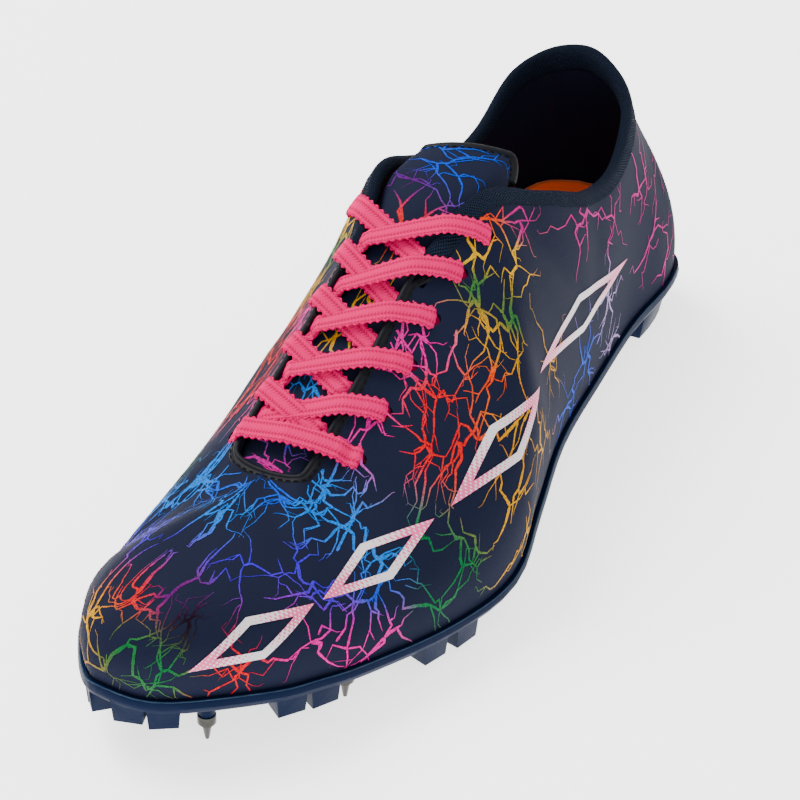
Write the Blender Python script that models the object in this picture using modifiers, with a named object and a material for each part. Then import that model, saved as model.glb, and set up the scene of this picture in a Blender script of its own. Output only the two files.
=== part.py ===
"""Track spike shoe for the left foot, standing on its spikes and its heel block.

Metres, +Z up. The toe points along +X and the outer (lateral) side of the foot is +Y.
The shoe is a ring of ribs: each rib runs from the feather line, where the upper meets the
sole, up to the top line, which is the ridge of the toe box, then the throat edge, then the
collar. Sole, insole, tongue, collar and laces all take their places from the same ribs.
"""
import math
from collections import namedtuple

import bmesh
import bpy
import numpy as np
from mathutils import Matrix, Vector

# Main form
LENGTH = 0.275            # heel to toe along the feather line
BALL_WIDTH = 0.0868       # across the ball of the foot
HEEL_WIDTH = 0.058        # across the heel
INSTEP_HEIGHT = 0.0895    # top of the throat above the floor
HEEL_HEIGHT = 0.0855      # heel tab above the floor
TOE_HEIGHT = 0.043        # top of the toe box above the floor
THROAT_GAP = 0.0215       # nominal opening between the two eyestays
FEATHER_HEIGHT = 0.0108   # feather line above the floor under the ball
HEEL_LIFT = 0.0048        # how far the feather line rises towards the heel
TOE_SPRING = 0.0112       # how far it rises at the toe

# Upper
UPPER_WALL = 0.0018
EYELET_DIAMETER = 0.0034
EYELET_SETBACK = 0.0120   # from the throat edge to an eyelet, along the rib
COLLAR_BAND = 0.0055      # nominal height of the knitted collar roll
COLLAR_THICKNESS = 0.0036

# Tongue and insole
TONGUE_THICKNESS = 0.0022
TONGUE_TUCK = 0.007       # how far its sides reach under the eyestays
TONGUE_END = 0.023        # how far it runs on behind the throat
TONGUE_SKEW = 0.0075      # how much further its outer corner runs than its middle
TONGUE_CROWN = 0.0022     # how far it bows up between the eyestays
TONGUE_CLEARANCE = 0.0012 # under the eyestays and the collar
INSOLE_THICKNESS = 0.003
INSOLE_CUP = 0.0165       # height of its cup behind the heel
INSOLE_CUP_WALL = 0.0018
INSOLE_EDGE = 0.003       # width of its raised edge

# Sole
LIP_DEPTH = 0.0016        # how deep the upper sits inside the lip
LIP_WALL = 0.0012
RIM_HEIGHT = 0.0032       # nominal height of the side band
CROWN = 0.0026            # how far the underside bellies below the rim
BELLY_INSET = 0.008
HEEL_BLOCK_LENGTH = 0.040
HEEL_BLOCK_INSET = 0.0012
HEEL_BLOCK_DRAFT = 0.0016
LUG_LENGTH = 0.0084       # along the rim
LUG_DEPTH = 0.0066        # across the rim
LUG_HEIGHT = 0.0058       # below the rim
LUG_TAPER = 0.13          # share of its length that it loses downwards
TOOTH_WIDTH = 0.0028
TOOTH_HEIGHT = 0.0017
TOOTH_TAPER = 0.7
SEAT_DIAMETER = 0.0086

# Spikes
SPIKE_LENGTH = 0.006
SPIKE_COLLAR_DIAMETER = 0.0046
SPIKE_COLLAR_HEIGHT = 0.0017
SPIKE_PIN_DIAMETER = 0.0027
SPIKE_TIP_DIAMETER = 0.0009

# Laces
LACE_WIDTH = 0.0064
LACE_THICKNESS = 0.0013
LACE_CLEARANCE = 0.0009   # its flat band bridges the hollow of the instep
LACE_FALL = 1.45          # eyelet rows between a run's eyelet and its far end
LACE_REACH = 0.93         # share of the opening that a run crosses before it dives

GAP = 0.0003              # between neighbours that touch
RIB_STEPS = 8             # faces up each rib
ROW_STEPS = 4             # ribs for each row of the tables

# Feather line, from the heel to the toe. Along is a share of LENGTH and across a share of
# the width, which runs from HEEL_WIDTH to BALL_WIDTH as fore goes from 0 to 1. The lifts are
# shares of HEEL_LIFT and TOE_SPRING. Lean is how the wall starts, in degrees outwards, and
# hold is how long it keeps that direction, as a share of the rib.
Foot = namedtuple("Foot", "along_out out along_in inner fore heel toe lean hold")
FOOT_ROWS = [
    Foot(0.008, 0.000, 0.008, 0.000, 0.00, 0.74, 0.00, 8, 0.35),
    Foot(0.026, 0.379, 0.024, -0.345, 0.00, 0.77, 0.00, 6, 0.42),
    Foot(0.082, 0.491, 0.084, -0.512, 0.00, 0.82, 0.00, -1, 0.35),
    Foot(0.188, 0.497, 0.189, -0.530, 0.00, 0.90, 0.00, -2, 0.35),
    Foot(0.308, 0.516, 0.309, -0.436, 0.15, 1.00, 0.00, 4, 0.35),
    Foot(0.427, 0.517, 0.429, -0.331, 0.40, 0.88, 0.00, 8, 0.35),
    Foot(0.538, 0.554, 0.549, -0.355, 0.70, 0.44, 0.00, 9, 0.39),
    Foot(0.638, 0.588, 0.658, -0.423, 0.90, 0.00, 0.00, 8, 0.34),
    Foot(0.735, 0.520, 0.767, -0.434, 1.00, 0.00, 0.12, 7, 0.31),
    Foot(0.833, 0.408, 0.866, -0.414, 1.00, 0.00, 0.39, 6, 0.35),
    Foot(0.881, 0.331, 0.906, -0.389, 1.00, 0.00, 0.53, 7, 0.38),
    Foot(0.922, 0.242, 0.937, -0.337, 1.00, 0.00, 0.64, 9, 0.42),
    Foot(0.985, 0.013, 0.980, -0.238, 1.00, 0.00, 0.77, 17, 0.55),
    Foot(1.000, -0.150, 1.000, -0.150, 1.00, 0.00, 1.00, 17, 0.55),
]

# Top line, row by row above the feather line. Ridge is its middle, a share of BALL_WIDTH.
# Half the opening is collar times HEEL_WIDTH plus throat times THROAT_GAP. The height is the
# sum of the shares of HEEL_HEIGHT, INSTEP_HEIGHT and TOE_HEIGHT. Slope is how steeply the
# wall ends, in degrees, and hold as above, on the outer and on the inner side. Band is the
# collar's height in COLLAR_BANDs.
Top = namedtuple("Top", "along ridge collar throat heel instep toe "
                        "slope_out hold_out slope_in hold_in band")
TOP_ROWS = [
    Top(0.073, -0.040, 0.000, 0.00, 1.000, 0.000, 0.000, 82, 0.35, 82, 0.35, 1.6),
    Top(0.091, -0.040, 0.207, 0.00, 0.974, 0.000, 0.000, 79, 0.29, 79, 0.29, 1.6),
    Top(0.128, -0.027, 0.345, 0.00, 0.908, 0.000, 0.000, 80, 0.35, 80, 0.35, 1.4),
    Top(0.193, -0.006, 0.391, 0.00, 0.550, 0.241, 0.000, 79, 0.35, 79, 0.35, 1.0),
    Top(0.269, 0.003, 0.391, 0.00, 0.350, 0.446, 0.000, 71, 0.35, 75, 0.35, 0.8),
    Top(0.353, -0.020, 0.360, 0.00, 0.000, 0.894, 0.000, 59, 0.40, 68, 0.35, 0.8),
    Top(0.441, -0.050, 0.000, 0.72, 0.000, 1.000, 0.000, 44, 0.45, 63, 0.36, 1.0),
    Top(0.524, -0.044, 0.000, 0.48, 0.000, 0.905, 0.000, 35, 0.48, 62, 0.39, 1.0),
    Top(0.628, -0.059, 0.000, 0.49, 0.000, 0.550, 0.345, 33, 0.52, 64, 0.43, 0.0),
    Top(0.722, -0.085, 0.000, 0.51, 0.000, 0.130, 0.840, 28, 0.51, 57, 0.44, 0.0),
    Top(0.746, -0.077, 0.000, 0.37, 0.000, 0.000, 1.040, 18, 0.49, 36, 0.43, 0.0),
    Top(0.753, -0.083, 0.000, 0.00, 0.000, 0.000, 1.022, 8, 0.47, 12, 0.42, 0.0),
    Top(0.848, -0.112, 0.000, 0.00, 0.000, 0.000, 0.998, 4, 0.50, 4, 0.42, 0.0),
    Top(0.921, -0.150, 0.000, 0.00, 0.000, 0.000, 0.970, 1, 0.50, 1, 0.50, 0.0),
]
LAST_ROW = len(FOOT_ROWS) - 1
THROAT_ROW = 11           # first row whose two sides meet at the ridge

# A turn is a place on the ring, in rows from the toe tip: + outwards, - inwards.
EYELET_TURNS = [4.41, 4.83, 5.26, 5.68, 6.20, 6.84]
LUG_TURNS = [0.53, 1.02, 2.38, 3.14, 4.80, 5.22, -0.72, -1.15, -2.40, -3.10, -4.75, -5.15]
TOOTH_TURNS = [1.23, 1.62, 1.78, 3.90, 4.15, 5.50, -1.30, -1.60, -1.90, -3.60, -4.05, -4.35]
TONGUE_FRONT_TURN = 2.0
TONGUE_BACK_TURN = 7.0
COLLAR_END_TURN = 5.75

# Each spike: its turn and its distance inwards from the feather line. All stand on the floor.
Spike = namedtuple("Spike", "turn inset")
SPIKES = [
    Spike(1.46, 0.0066),
    Spike(3.92, 0.0070),
    Spike(5.90, 0.0070),
    Spike(-1.45, 0.0070),
    Spike(-3.95, 0.0075),
    Spike(-5.95, 0.0080),
]


def unit(vectors):
    """Vectors made one long, along their last axis."""
    return vectors / (np.linalg.norm(vectors, axis=-1, keepdims=True) + 1e-12)


def smooth_ring(rows, steps):
    """A closed smooth curve through the rows, with steps points for each."""
    before, after, second = (np.roll(rows, shift, 0) for shift in (1, -1, -2))
    points = []
    for t in np.arange(steps) / steps:
        points.append(0.5 * (2 * rows + (after - before) * t
                             + (2 * before - 5 * rows + 4 * after - second) * t ** 2
                             + (3 * rows - before - 3 * after + second) * t ** 3))
    return np.stack(points, 1).reshape(-1, rows.shape[1])


def ring_rows():
    """The rows around the ring, from the toe tip: outer side, heel, inner side."""
    outer = [(row, 1) for row in range(LAST_ROW, -1, -1)]
    inner = [(row, -1) for row in range(1, LAST_ROW)]
    return outer + inner


def ring_tables():
    """Feather points, top points and rib shapes of every rib around the ring."""
    foot, top, shape = [], [], []
    for row, side in ring_rows():
        low, high = FOOT_ROWS[row], TOP_ROWS[row]
        width = HEEL_WIDTH + low.fore * (BALL_WIDTH - HEEL_WIDTH)
        along, across = (low.along_out, low.out) if side > 0 else (low.along_in, low.inner)
        rise = FEATHER_HEIGHT + low.heel * HEEL_LIFT + low.toe * TOE_SPRING
        foot.append((along * LENGTH, across * width, rise))
        half = high.collar * HEEL_WIDTH + high.throat * THROAT_GAP
        height = high.heel * HEEL_HEIGHT + high.instep * INSTEP_HEIGHT + high.toe * TOE_HEIGHT
        top.append((high.along * LENGTH, high.ridge * BALL_WIDTH, height, side * half))
        ending = (high.slope_out, high.hold_out) if side > 0 else (high.slope_in, high.hold_in)
        shape.append((low.lean, low.hold, *ending, high.band))
    foot = smooth_ring(np.array(foot), ROW_STEPS)
    top = smooth_ring(np.array(top), ROW_STEPS)
    shape = smooth_ring(np.array(shape), ROW_STEPS)
    return foot, top, shape


def outward(points):
    """Level unit vectors that point out of a ring of points."""
    along = np.roll(points, -1, 0) - np.roll(points, 1, 0)
    return unit(np.stack([along[:, 1], -along[:, 0], 0 * along[:, 0]], 1))


def eased(points):
    """Points around the ring, each drawn a little towards its neighbours."""
    shares = {-2: 1, -1: 2, 0: 3, 1: 2, 2: 1}
    return sum(np.roll(points, shift, 0) * share for shift, share in shares.items()) / 9


class Last:
    """The ribs of the shoe, and places on them."""

    def __init__(self):
        self.foot, top, shape = ring_tables()
        self.count = len(self.foot)
        self.out = outward(self.foot)
        number = np.arange(self.count)
        side = np.where(number <= self.count // 2, 1, -1)
        half = np.maximum(top[:, 3] * side, 0) * side
        closed = np.minimum(number, self.count - number) <= (LAST_ROW - THROAT_ROW) * ROW_STEPS
        half = np.where(closed, 0, half)
        self.top = np.stack([top[:, 0], top[:, 1] + half, top[:, 2]], 1)
        self.band = np.clip(shape[:, 4], 0, None) * COLLAR_BAND
        self.controls = self.rib_controls(shape)

    def rib_controls(self, shape):
        """The four control points of each rib, a cubic curve. It ends in the plane that holds
        the top line and falls away from it at the slope."""
        lean, hold, slope, top_hold = np.radians(shape[:, 0]), shape[:, 1], shape[:, 2], shape[:, 3]
        reach = np.linalg.norm(self.top - self.foot, axis=1)
        up = np.array([0, 0, 1.0])
        start = self.out * np.sin(lean)[:, None] + up * np.cos(lean)[:, None]
        fall = self.foot - self.top
        run = np.roll(self.top, -1, 0) - np.roll(self.top, 1, 0)
        run = unit(np.where(np.abs(run).sum(1, keepdims=True) < GAP, [0, 1, 0], run))
        beside = unit(np.stack([run[:, 1], -run[:, 0], 0 * run[:, 0]], 1))
        slope = np.radians(slope)[:, None]
        beside = beside * np.cos(slope) - up * np.sin(slope)
        beside = unit(beside - run * np.sum(beside * run, axis=1, keepdims=True))
        along = np.sum(fall[:, :2] * run[:, :2], axis=1, keepdims=True)
        end = unit(run * along + beside * np.sum(fall * beside, axis=1, keepdims=True))
        low = self.foot + start * (hold * reach)[:, None]
        high = eased(self.top + end * (top_hold * reach)[:, None])
        return np.stack([self.foot, low, high, self.top], 1)

    def rib(self, index, share):
        """A point on rib number index, at a share of its way up."""
        a, b, c, d = self.controls[int(index) % self.count]
        s = share
        return (1 - s) ** 3 * a + 3 * (1 - s) ** 2 * s * b + 3 * (1 - s) * s * s * c + s ** 3 * d

    def point(self, index, share, depth=0.0):
        """A point at a place on the skin, and depth below it. The index may fall between ribs."""
        low = math.floor(index)
        part = index - low
        here = self.rib(low, share) * (1 - part) + self.rib(low + 1, share) * part
        if depth == 0:
            return here
        return here + self.normal(index, share) * -depth

    def normal(self, index, share):
        """The skin's outward direction at a place."""
        step = 0.02
        up = self.point(index, min(share + step, 1)) - self.point(index, max(share - step, 0))
        along = self.point(index + 0.5, share) - self.point(index - 0.5, share)
        if np.linalg.norm(along) < 1e-6:
            along = self.point(index + 0.5, 0) - self.point(index - 0.5, 0)
        return unit(np.cross(along, up))

    def share_below_top(self, index, distance):
        """The share of the way up that lies a distance below the top, along the rib."""
        share = 1.0
        step = 0.005
        travelled = 0.0
        here = self.point(index, share)
        while travelled < distance and share > step:
            share -= step
            below = self.point(index, share)
            stride = np.linalg.norm(below - here)
            travelled += stride
            here = below
        if travelled > distance:
            share += step * (travelled - distance) / stride
        return share

    def share_at_height(self, index, height):
        """The share of the way up at which the rib has climbed a height from its foot."""
        share = 0.0
        base = self.rib(index, 0)[2]
        while self.rib(index, share)[2] - base < height and share < 1:
            share += 0.005
        return share

    def collared(self, index):
        """Whether the collar roll tops this rib."""
        from_toe = min(index, self.count - index) / ROW_STEPS
        return from_toe >= COLLAR_END_TURN

    def number(self, turn):
        """The rib number of a turn."""
        return (turn * ROW_STEPS) % self.count

    def outline(self, offset, drop=0.0):
        """The feather line moved outwards by offset and down by drop."""
        points = self.foot + self.out * np.reshape(offset, (-1, 1))
        points[:, 2] -= drop
        return points

    def outline_at(self, turn, offset):
        """One point of the outline and its outward direction."""
        index = self.number(turn)
        low = math.floor(index)
        part = index - low
        high = (low + 1) % self.count
        base = self.foot[low] * (1 - part) + self.foot[high] * part
        out = unit(self.out[low] * (1 - part) + self.out[high] * part)
        return base + out * offset, out


def material(name, colour, roughness, metallic=0.0):
    """A plain finish."""
    finish = bpy.data.materials.new(name)
    finish.use_nodes = True
    shader = finish.node_tree.nodes["Principled BSDF"]
    shader.inputs["Base Color"].default_value = (*colour, 1.0)
    shader.inputs["Roughness"].default_value = roughness
    shader.inputs["Metallic"].default_value = metallic
    return finish


def add_object(name, mesh, collection, finish=None):
    """An object with smooth faces in a collection."""
    part = bpy.data.objects.new(name, mesh)
    collection.objects.link(part)
    if finish:
        mesh.materials.append(finish)
        mesh.shade_smooth()
        mesh.set_sharp_from_angle(angle=math.radians(40))
    return part


def form_mesh(name, form):
    """A mesh made of a finished form, which is let go."""
    mesh = bpy.data.meshes.new(name)
    form.to_mesh(mesh)
    form.free()
    return mesh


def mesh_from(name, points, faces, merge=0.00001):
    """A mesh whose doubled points are merged and whose faces point outwards."""
    form = bmesh.new()
    verts = [form.verts.new(point) for point in points]
    for face in faces:
        form.faces.new([verts[number] for number in face])
    bmesh.ops.remove_doubles(form, verts=form.verts, dist=merge)
    bmesh.ops.dissolve_degenerate(form, edges=form.edges, dist=merge)
    bmesh.ops.recalc_face_normals(form, faces=form.faces)
    return form_mesh(name, form)


def grid_faces(columns, rows, closed):
    """Quads over a grid of points that is stored column by column."""
    faces = []
    for column in range(columns if closed else columns - 1):
        following = (column + 1) % columns
        for row in range(rows - 1):
            faces.append((column * rows + row, following * rows + row,
                          following * rows + row + 1, column * rows + row + 1))
    return faces


def rings_mesh(name, rings):
    """A closed body from rings around the last, with its first and last ring filled across."""
    count = len(rings[0])
    points = np.concatenate(rings)
    faces = []
    for level in range(len(rings) - 1):
        for number in range(count):
            following = (number + 1) % count
            faces.append((level * count + number, level * count + following,
                          (level + 1) * count + following, (level + 1) * count + number))
    for level in (0, len(rings) - 1):
        faces += across_faces(count, level * count)
    return mesh_from(name, points, faces)


def across_faces(count, first):
    """Faces that join each point of the outer side to its partner on the inner side."""
    faces = []
    for number in range(count // 2):
        near, far = (number, number + 1), ((count - number) % count, count - number - 1)
        face = [first + near[0], first + near[1], first + far[1], first + far[0]]
        faces.append(list(dict.fromkeys(face)))
    return faces


def sections_mesh(name, sections):
    """A closed body from a row of like sections, with flat ends."""
    size = len(sections[0])
    faces = []
    for number in range(len(sections) - 1):
        for corner in range(size):
            following = (corner + 1) % size
            faces.append((number * size + corner, number * size + following,
                          (number + 1) * size + following, (number + 1) * size + corner))
    faces.append(range(size))
    last = (len(sections) - 1) * size
    faces.append(range(last, last + size))
    return mesh_from(name, np.concatenate(sections), faces)


def add_modifier(part, kind, **settings):
    """A modifier with its settings."""
    modifier = part.modifiers.new(kind.title(), kind)
    for key, value in settings.items():
        setattr(modifier, key, value)
    return modifier


def build_upper(last, parts, cutters, finish):
    """One hollow skin, open at the collar, the throat and underneath."""
    points = []
    for index in range(last.count):
        edge = last.share_below_top(index, last.band[index] + GAP) if last.collared(index) else 1
        foot = last.rib(index, 0)
        points.append(foot - [0, 0, LIP_DEPTH - GAP])
        for step in range(RIB_STEPS + 1):
            points.append(last.rib(index, edge * step / RIB_STEPS))
    mesh = mesh_from("upper", points, grid_faces(last.count, RIB_STEPS + 2, closed=True))
    upper = add_object("upper", mesh, parts, finish)
    add_modifier(upper, "SOLIDIFY", thickness=UPPER_WALL, offset=-1)
    cutter = add_object("eyelet_cutter", eyelet_holes(last), cutters)
    cutter.hide_render = True
    cutter.display_type = "WIRE"
    add_modifier(upper, "BOOLEAN", operation="DIFFERENCE", object=cutter)
    return upper


def eyelet_place(last, turn):
    """The rib number and the share up the rib of an eyelet."""
    index = last.number(turn)
    return index, last.share_below_top(index, EYELET_SETBACK)


def eyelet_holes(last):
    """Short round bars through the upper's wall, one at each eyelet."""
    form = bmesh.new()
    for turn in EYELET_TURNS:
        for side in (1, -1):
            index, share = eyelet_place(last, side * turn)
            normal = Vector(last.normal(index, share))
            place = Matrix.Translation(Vector(last.point(index, share, UPPER_WALL / 2)))
            turned = Vector((0, 0, 1)).rotation_difference(normal).to_matrix().to_4x4()
            bmesh.ops.create_cone(form, cap_ends=True, segments=8, radius1=EYELET_DIAMETER / 2,
                                  radius2=EYELET_DIAMETER / 2, depth=UPPER_WALL * 3,
                                  matrix=place @ turned)
    return form_mesh("eyelet_holes", form)


def build_collar(last, parts, finish):
    """The padded knitted roll on the topline, which runs down both eyestays."""
    half = ROW_STEPS * COLLAR_END_TURN
    profile = [(0.00, 0.06), (-0.06, 0.38), (-0.02, 0.76), (0.20, 0.97), (0.55, 0.98),
               (0.88, 0.78), (1.00, 0.46), (0.88, 0.14)]
    sections = []
    for index in range(int(half), int(last.count - half) + 1):
        band = last.band[index]
        low = last.share_below_top(index, band)
        base, tip = last.point(index, low), last.point(index, 1)
        inward = -last.normal(index, low)
        sections.append(np.array([base + (tip - base) * height + inward * depth * COLLAR_THICKNESS
                                  for depth, height in profile]))
    return add_object("collar", sections_mesh("collar", sections), parts, finish)


def bridge(last, turn, share, lift, depth=0.0):
    """A point over the throat, from the outer edge (0) to the inner edge (1). It spans
    between points that lie depth inside the edges, and stands lift above that span."""
    outer, inner = last.number(turn), last.number(-turn)
    start, end = last.point(outer, 1, depth), last.point(inner, 1, depth)
    if start[1] < end[1] + GAP:
        start = end = (start + end) / 2
    up = unit(last.normal(outer, 1) + last.normal(inner, 1))
    opening = np.linalg.norm(end - start) / THROAT_GAP
    crown = TONGUE_CROWN * np.clip(2 * opening - 1, 0, 1)
    return start + (end - start) * share + up * (lift + crown * 4 * share * (1 - share))


def build_tongue(last, parts, finish):
    """A flap under the eyestays, fixed under the vamp, with its end running free."""
    across = 5
    tucks = (1.0, 0.42)
    turns = np.arange(TONGUE_FRONT_TURN, TONGUE_BACK_TURN + 0.01, 1 / ROW_STEPS)
    columns = []
    for turn in turns:
        under_collar = turn > COLLAR_END_TURN - 0.75
        depth = TONGUE_CLEARANCE + (COLLAR_THICKNESS if under_collar else UPPER_WALL)
        sides = []
        for number in (last.number(turn), last.number(-turn)):
            shares = [last.share_below_top(number, TONGUE_TUCK * tuck) for tuck in tucks]
            sides.append([last.point(number, share, depth) for share in shares])
        middle = [bridge(last, turn, step / across, 0, depth) for step in range(1, across)]
        columns.append(np.array(sides[0] + middle + sides[1][::-1]))
    columns += tongue_end(columns[-1])
    points = np.concatenate(columns)
    faces = grid_faces(len(columns), len(columns[0]), closed=False)
    tongue = add_object("tongue", mesh_from("tongue", points, faces), parts, finish)
    add_modifier(tongue, "SOLIDIFY", thickness=TONGUE_THICKNESS, offset=-1)
    return tongue


def tongue_end(last_column):
    """The free end behind the throat: it runs on almost level, further on the outer side, and
    its corners are round."""
    steps = [(0.30, 1.00, 0.02), (0.62, 1.00, 0.02), (0.88, 0.96, 0.0), (1.0, 0.86, -0.02)]
    centre = last_column[len(last_column) // 2]
    half = np.abs(last_column[:, 1] - centre[1]).max()
    ends = []
    for run, width, stand in steps:
        moved = centre + (last_column - centre) * width
        back = TONGUE_END + TONGUE_SKEW * (moved[:, 1] - centre[1]) / half
        moved[:, 0] -= run * back
        moved[:, 2] += stand * TONGUE_END
        ends.append(moved)
    return ends


def cup_height(last, index):
    """The insole's edge: a cup behind the heel that runs out at the waist."""
    share = 1 - last.foot[index][0] / (LENGTH * 0.42)
    return INSOLE_CUP * max(share, 0) ** 1.3


def build_insole(last, parts, finish):
    """A foam footbed on the sole, with a cup around the heel."""
    inset = UPPER_WALL + GAP
    floor = LIP_DEPTH - 2 * GAP
    bottom = last.outline(-inset, floor)
    outer, inner = [], []
    for index in range(last.count):
        height = max(cup_height(last, index), INSOLE_THICKNESS - floor)
        share = last.share_at_height(index, height)
        wall = last.point(index, share, inset + GAP)
        outer.append(wall)
        inner.append(wall - last.out[index] * INSOLE_CUP_WALL)
    bed = last.outline(-(inset + INSOLE_EDGE), floor - INSOLE_THICKNESS)
    rings = [bottom, np.array(outer), np.array(inner), bed]
    return add_object("insole", rings_mesh("insole", rings), parts, finish)


def rim_height(last):
    """Height of the side band at each rib: taller around the toe."""
    share = np.clip((last.foot[:, 0] / LENGTH - 0.7) / 0.3, 0, 1)
    return RIM_HEIGHT * (1 + 0.2 * share)


def belly(along):
    """How far the underside bellies below the rim: most at the toe, hardly at the waist."""
    return CROWN * np.clip((along / LENGTH - 0.68) / 0.27, 0.05, 1)


def sole_plate(last):
    """The moulded plate: a thin cup with a lip around the upper's edge."""
    rim = rim_height(last)
    lip = GAP + LIP_WALL
    rings = [
        last.outline(GAP, LIP_DEPTH),
        last.outline(GAP, 0),
        last.outline(lip, 0),
        last.outline(lip + LIP_WALL / 3, rim * 0.5),
        last.outline(lip - LIP_WALL / 3, rim),
        last.outline(-BELLY_INSET, rim + belly(last.foot[:, 0])),
    ]
    return rings_mesh("outsole", rings)


def heel_block(last):
    """A block under the heel, flat on the floor, with sides drawn in towards it."""
    sections = []
    rim = rim_height(last)
    inside = [index for index in range(last.count) if last.foot[index][0] < HEEL_BLOCK_LENGTH]
    base = last.outline(-HEEL_BLOCK_INSET, rim - LIP_WALL / 2)
    tread = last.outline(-HEEL_BLOCK_INSET - HEEL_BLOCK_DRAFT)
    tread[:, 2] = 0
    waist = base.copy()
    waist[:, 2] -= LIP_WALL * 2
    for ring in (base, waist, tread):
        sections.append(ring[inside])
    return sections_mesh("heel_block", sections)


def tapered_block(form, centre, out, length, depth, height, taper):
    """A block that narrows downwards, with its outer face square to out."""
    along = Vector((-out[1], out[0], 0))
    made = bmesh.ops.create_cube(form, size=1.0)["verts"]
    for vert in made:
        narrow = 1 - taper if vert.co.z < 0 else 1
        across = vert.co.x * depth * narrow - depth / 2
        vert.co = (Vector(centre) + along * vert.co.y * length * narrow
                   + Vector(out) * across + Vector((0, 0, (vert.co.z - 0.5) * height)))


def sole_studs(last):
    """Lugs and small teeth on the rim."""
    form = bmesh.new()
    root = RIM_HEIGHT * 0.15
    for turn in LUG_TURNS:
        place, out = last.outline_at(turn, GAP + LIP_WALL / 2)
        place[2] -= RIM_HEIGHT - root
        tapered_block(form, place, out, LUG_LENGTH, LUG_DEPTH, LUG_HEIGHT + root, LUG_TAPER)
    for turn in TOOTH_TURNS:
        place, out = last.outline_at(turn, -TOOTH_WIDTH / 2)
        place[2] -= RIM_HEIGHT - root
        tapered_block(form, place, out, TOOTH_WIDTH, TOOTH_WIDTH, TOOTH_HEIGHT + root, TOOTH_TAPER)
    return form_mesh("sole_studs", form)


def spike_seats(last):
    """The round seats that the spikes screw into."""
    form = bmesh.new()
    for spike in SPIKES:
        place, _ = last.outline_at(spike.turn, -spike.inset)
        bottom = SPIKE_LENGTH + GAP
        top = place[2] - LIP_DEPTH - LIP_WALL - belly(place[0]) * 0.6
        centre = Vector((place[0], place[1], (top + bottom) / 2))
        bmesh.ops.create_cone(form, cap_ends=True, segments=12, radius1=SEAT_DIAMETER / 2 * 0.9,
                              radius2=SEAT_DIAMETER / 2, depth=top - bottom,
                              matrix=Matrix.Translation(centre))
    return form_mesh("spike_seats", form)


def build_outsole(last, parts, cutters, finish):
    """Plate, heel block, lugs, teeth and spike seats, moulded as one."""
    outsole = add_object("outsole", sole_plate(last), parts, finish)
    forms = {"heel_block_form": heel_block(last), "stud_form": sole_studs(last),
             "seat_form": spike_seats(last)}
    for name, mesh in forms.items():
        form = add_object(name, mesh, cutters)
        if name == "heel_block_form":
            add_modifier(form, "TRIANGULATE")   # its top isn't one flat face
        form.hide_render = True
        form.display_type = "WIRE"
        add_modifier(outsole, "BOOLEAN", operation="UNION", object=form, use_self=True)
    return outsole


def build_spikes(last, parts, finish):
    """Steel spikes, each a turned collar and a tapered pin."""
    profile = [(0.0, SPIKE_LENGTH), (SPIKE_COLLAR_DIAMETER / 2, SPIKE_LENGTH),
               (SPIKE_COLLAR_DIAMETER / 2, SPIKE_LENGTH - SPIKE_COLLAR_HEIGHT * 0.6),
               (SPIKE_COLLAR_DIAMETER / 2 * 0.75, SPIKE_LENGTH - SPIKE_COLLAR_HEIGHT),
               (SPIKE_PIN_DIAMETER / 2, SPIKE_LENGTH - SPIKE_COLLAR_HEIGHT),
               (SPIKE_TIP_DIAMETER / 2, 0.0), (0.0, 0.0)]
    for number, spike in enumerate(SPIKES, 1):
        mesh = bpy.data.meshes.new(f"spike_{number}")
        edges = [(index, index + 1) for index in range(len(profile) - 1)]
        mesh.from_pydata([(radius, 0, height) for radius, height in profile], edges, [])
        part = add_object(f"spike_{number}", mesh, parts, finish)
        place, _ = last.outline_at(spike.turn, -spike.inset)
        part.location = (place[0], place[1], 0)
        add_modifier(part, "SCREW", steps=8, render_steps=8, use_merge_vertices=True,
                     merge_threshold=0.00001)


def strap_section(centre, side, up):
    """A flat lace's section, with softened edges."""
    corners = [(-0.5, 0.0), (-0.42, -0.5), (0.42, -0.5), (0.5, 0.0), (0.42, 0.5), (-0.42, 0.5)]
    return np.array([centre + side * a * LACE_WIDTH + up * b * LACE_THICKNESS for a, b in corners])


def lace_strap(last, from_turn, to_turn, lift, name):
    """One run of lace: from beside an eyelet, over the eyestay's edge and the tongue, to the
    opposite edge. It gains on its end turn all the way; a negative turn is the inner side."""
    side = 1 if from_turn > 0 else -1
    height = LACE_CLEARANCE + LACE_THICKNESS / 2 + lift
    beside = EYELET_SETBACK / (EYELET_SETBACK + THROAT_GAP)
    places, ups = [], []
    for part in (0.28, 0.52, 0.76, 1.0):
        index = last.number(from_turn + (to_turn - from_turn) * beside * part)
        share = last.share_below_top(index, EYELET_SETBACK * (1 - part))
        ups.append(last.normal(index, share))
        places.append(last.point(index, share) + ups[-1] * height)
    for part in np.linspace(0, LACE_REACH, 7)[1:]:
        turn = abs(from_turn + (to_turn - from_turn) * (beside + (1 - beside) * part))
        share = part if side > 0 else 1 - part
        ups.append(unit(last.normal(last.number(turn), 1) + last.normal(last.number(-turn), 1)))
        places.append(bridge(last, turn, share, height))
    places = np.array(places)
    ahead = unit(np.gradient(places, axis=0))
    sections = []
    for place, up, forward in zip(places, ups, ahead):
        across = unit(np.cross(up, forward))
        sections.append(strap_section(place, across, unit(np.cross(forward, across))))
    return sections_mesh(name, sections)


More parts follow.
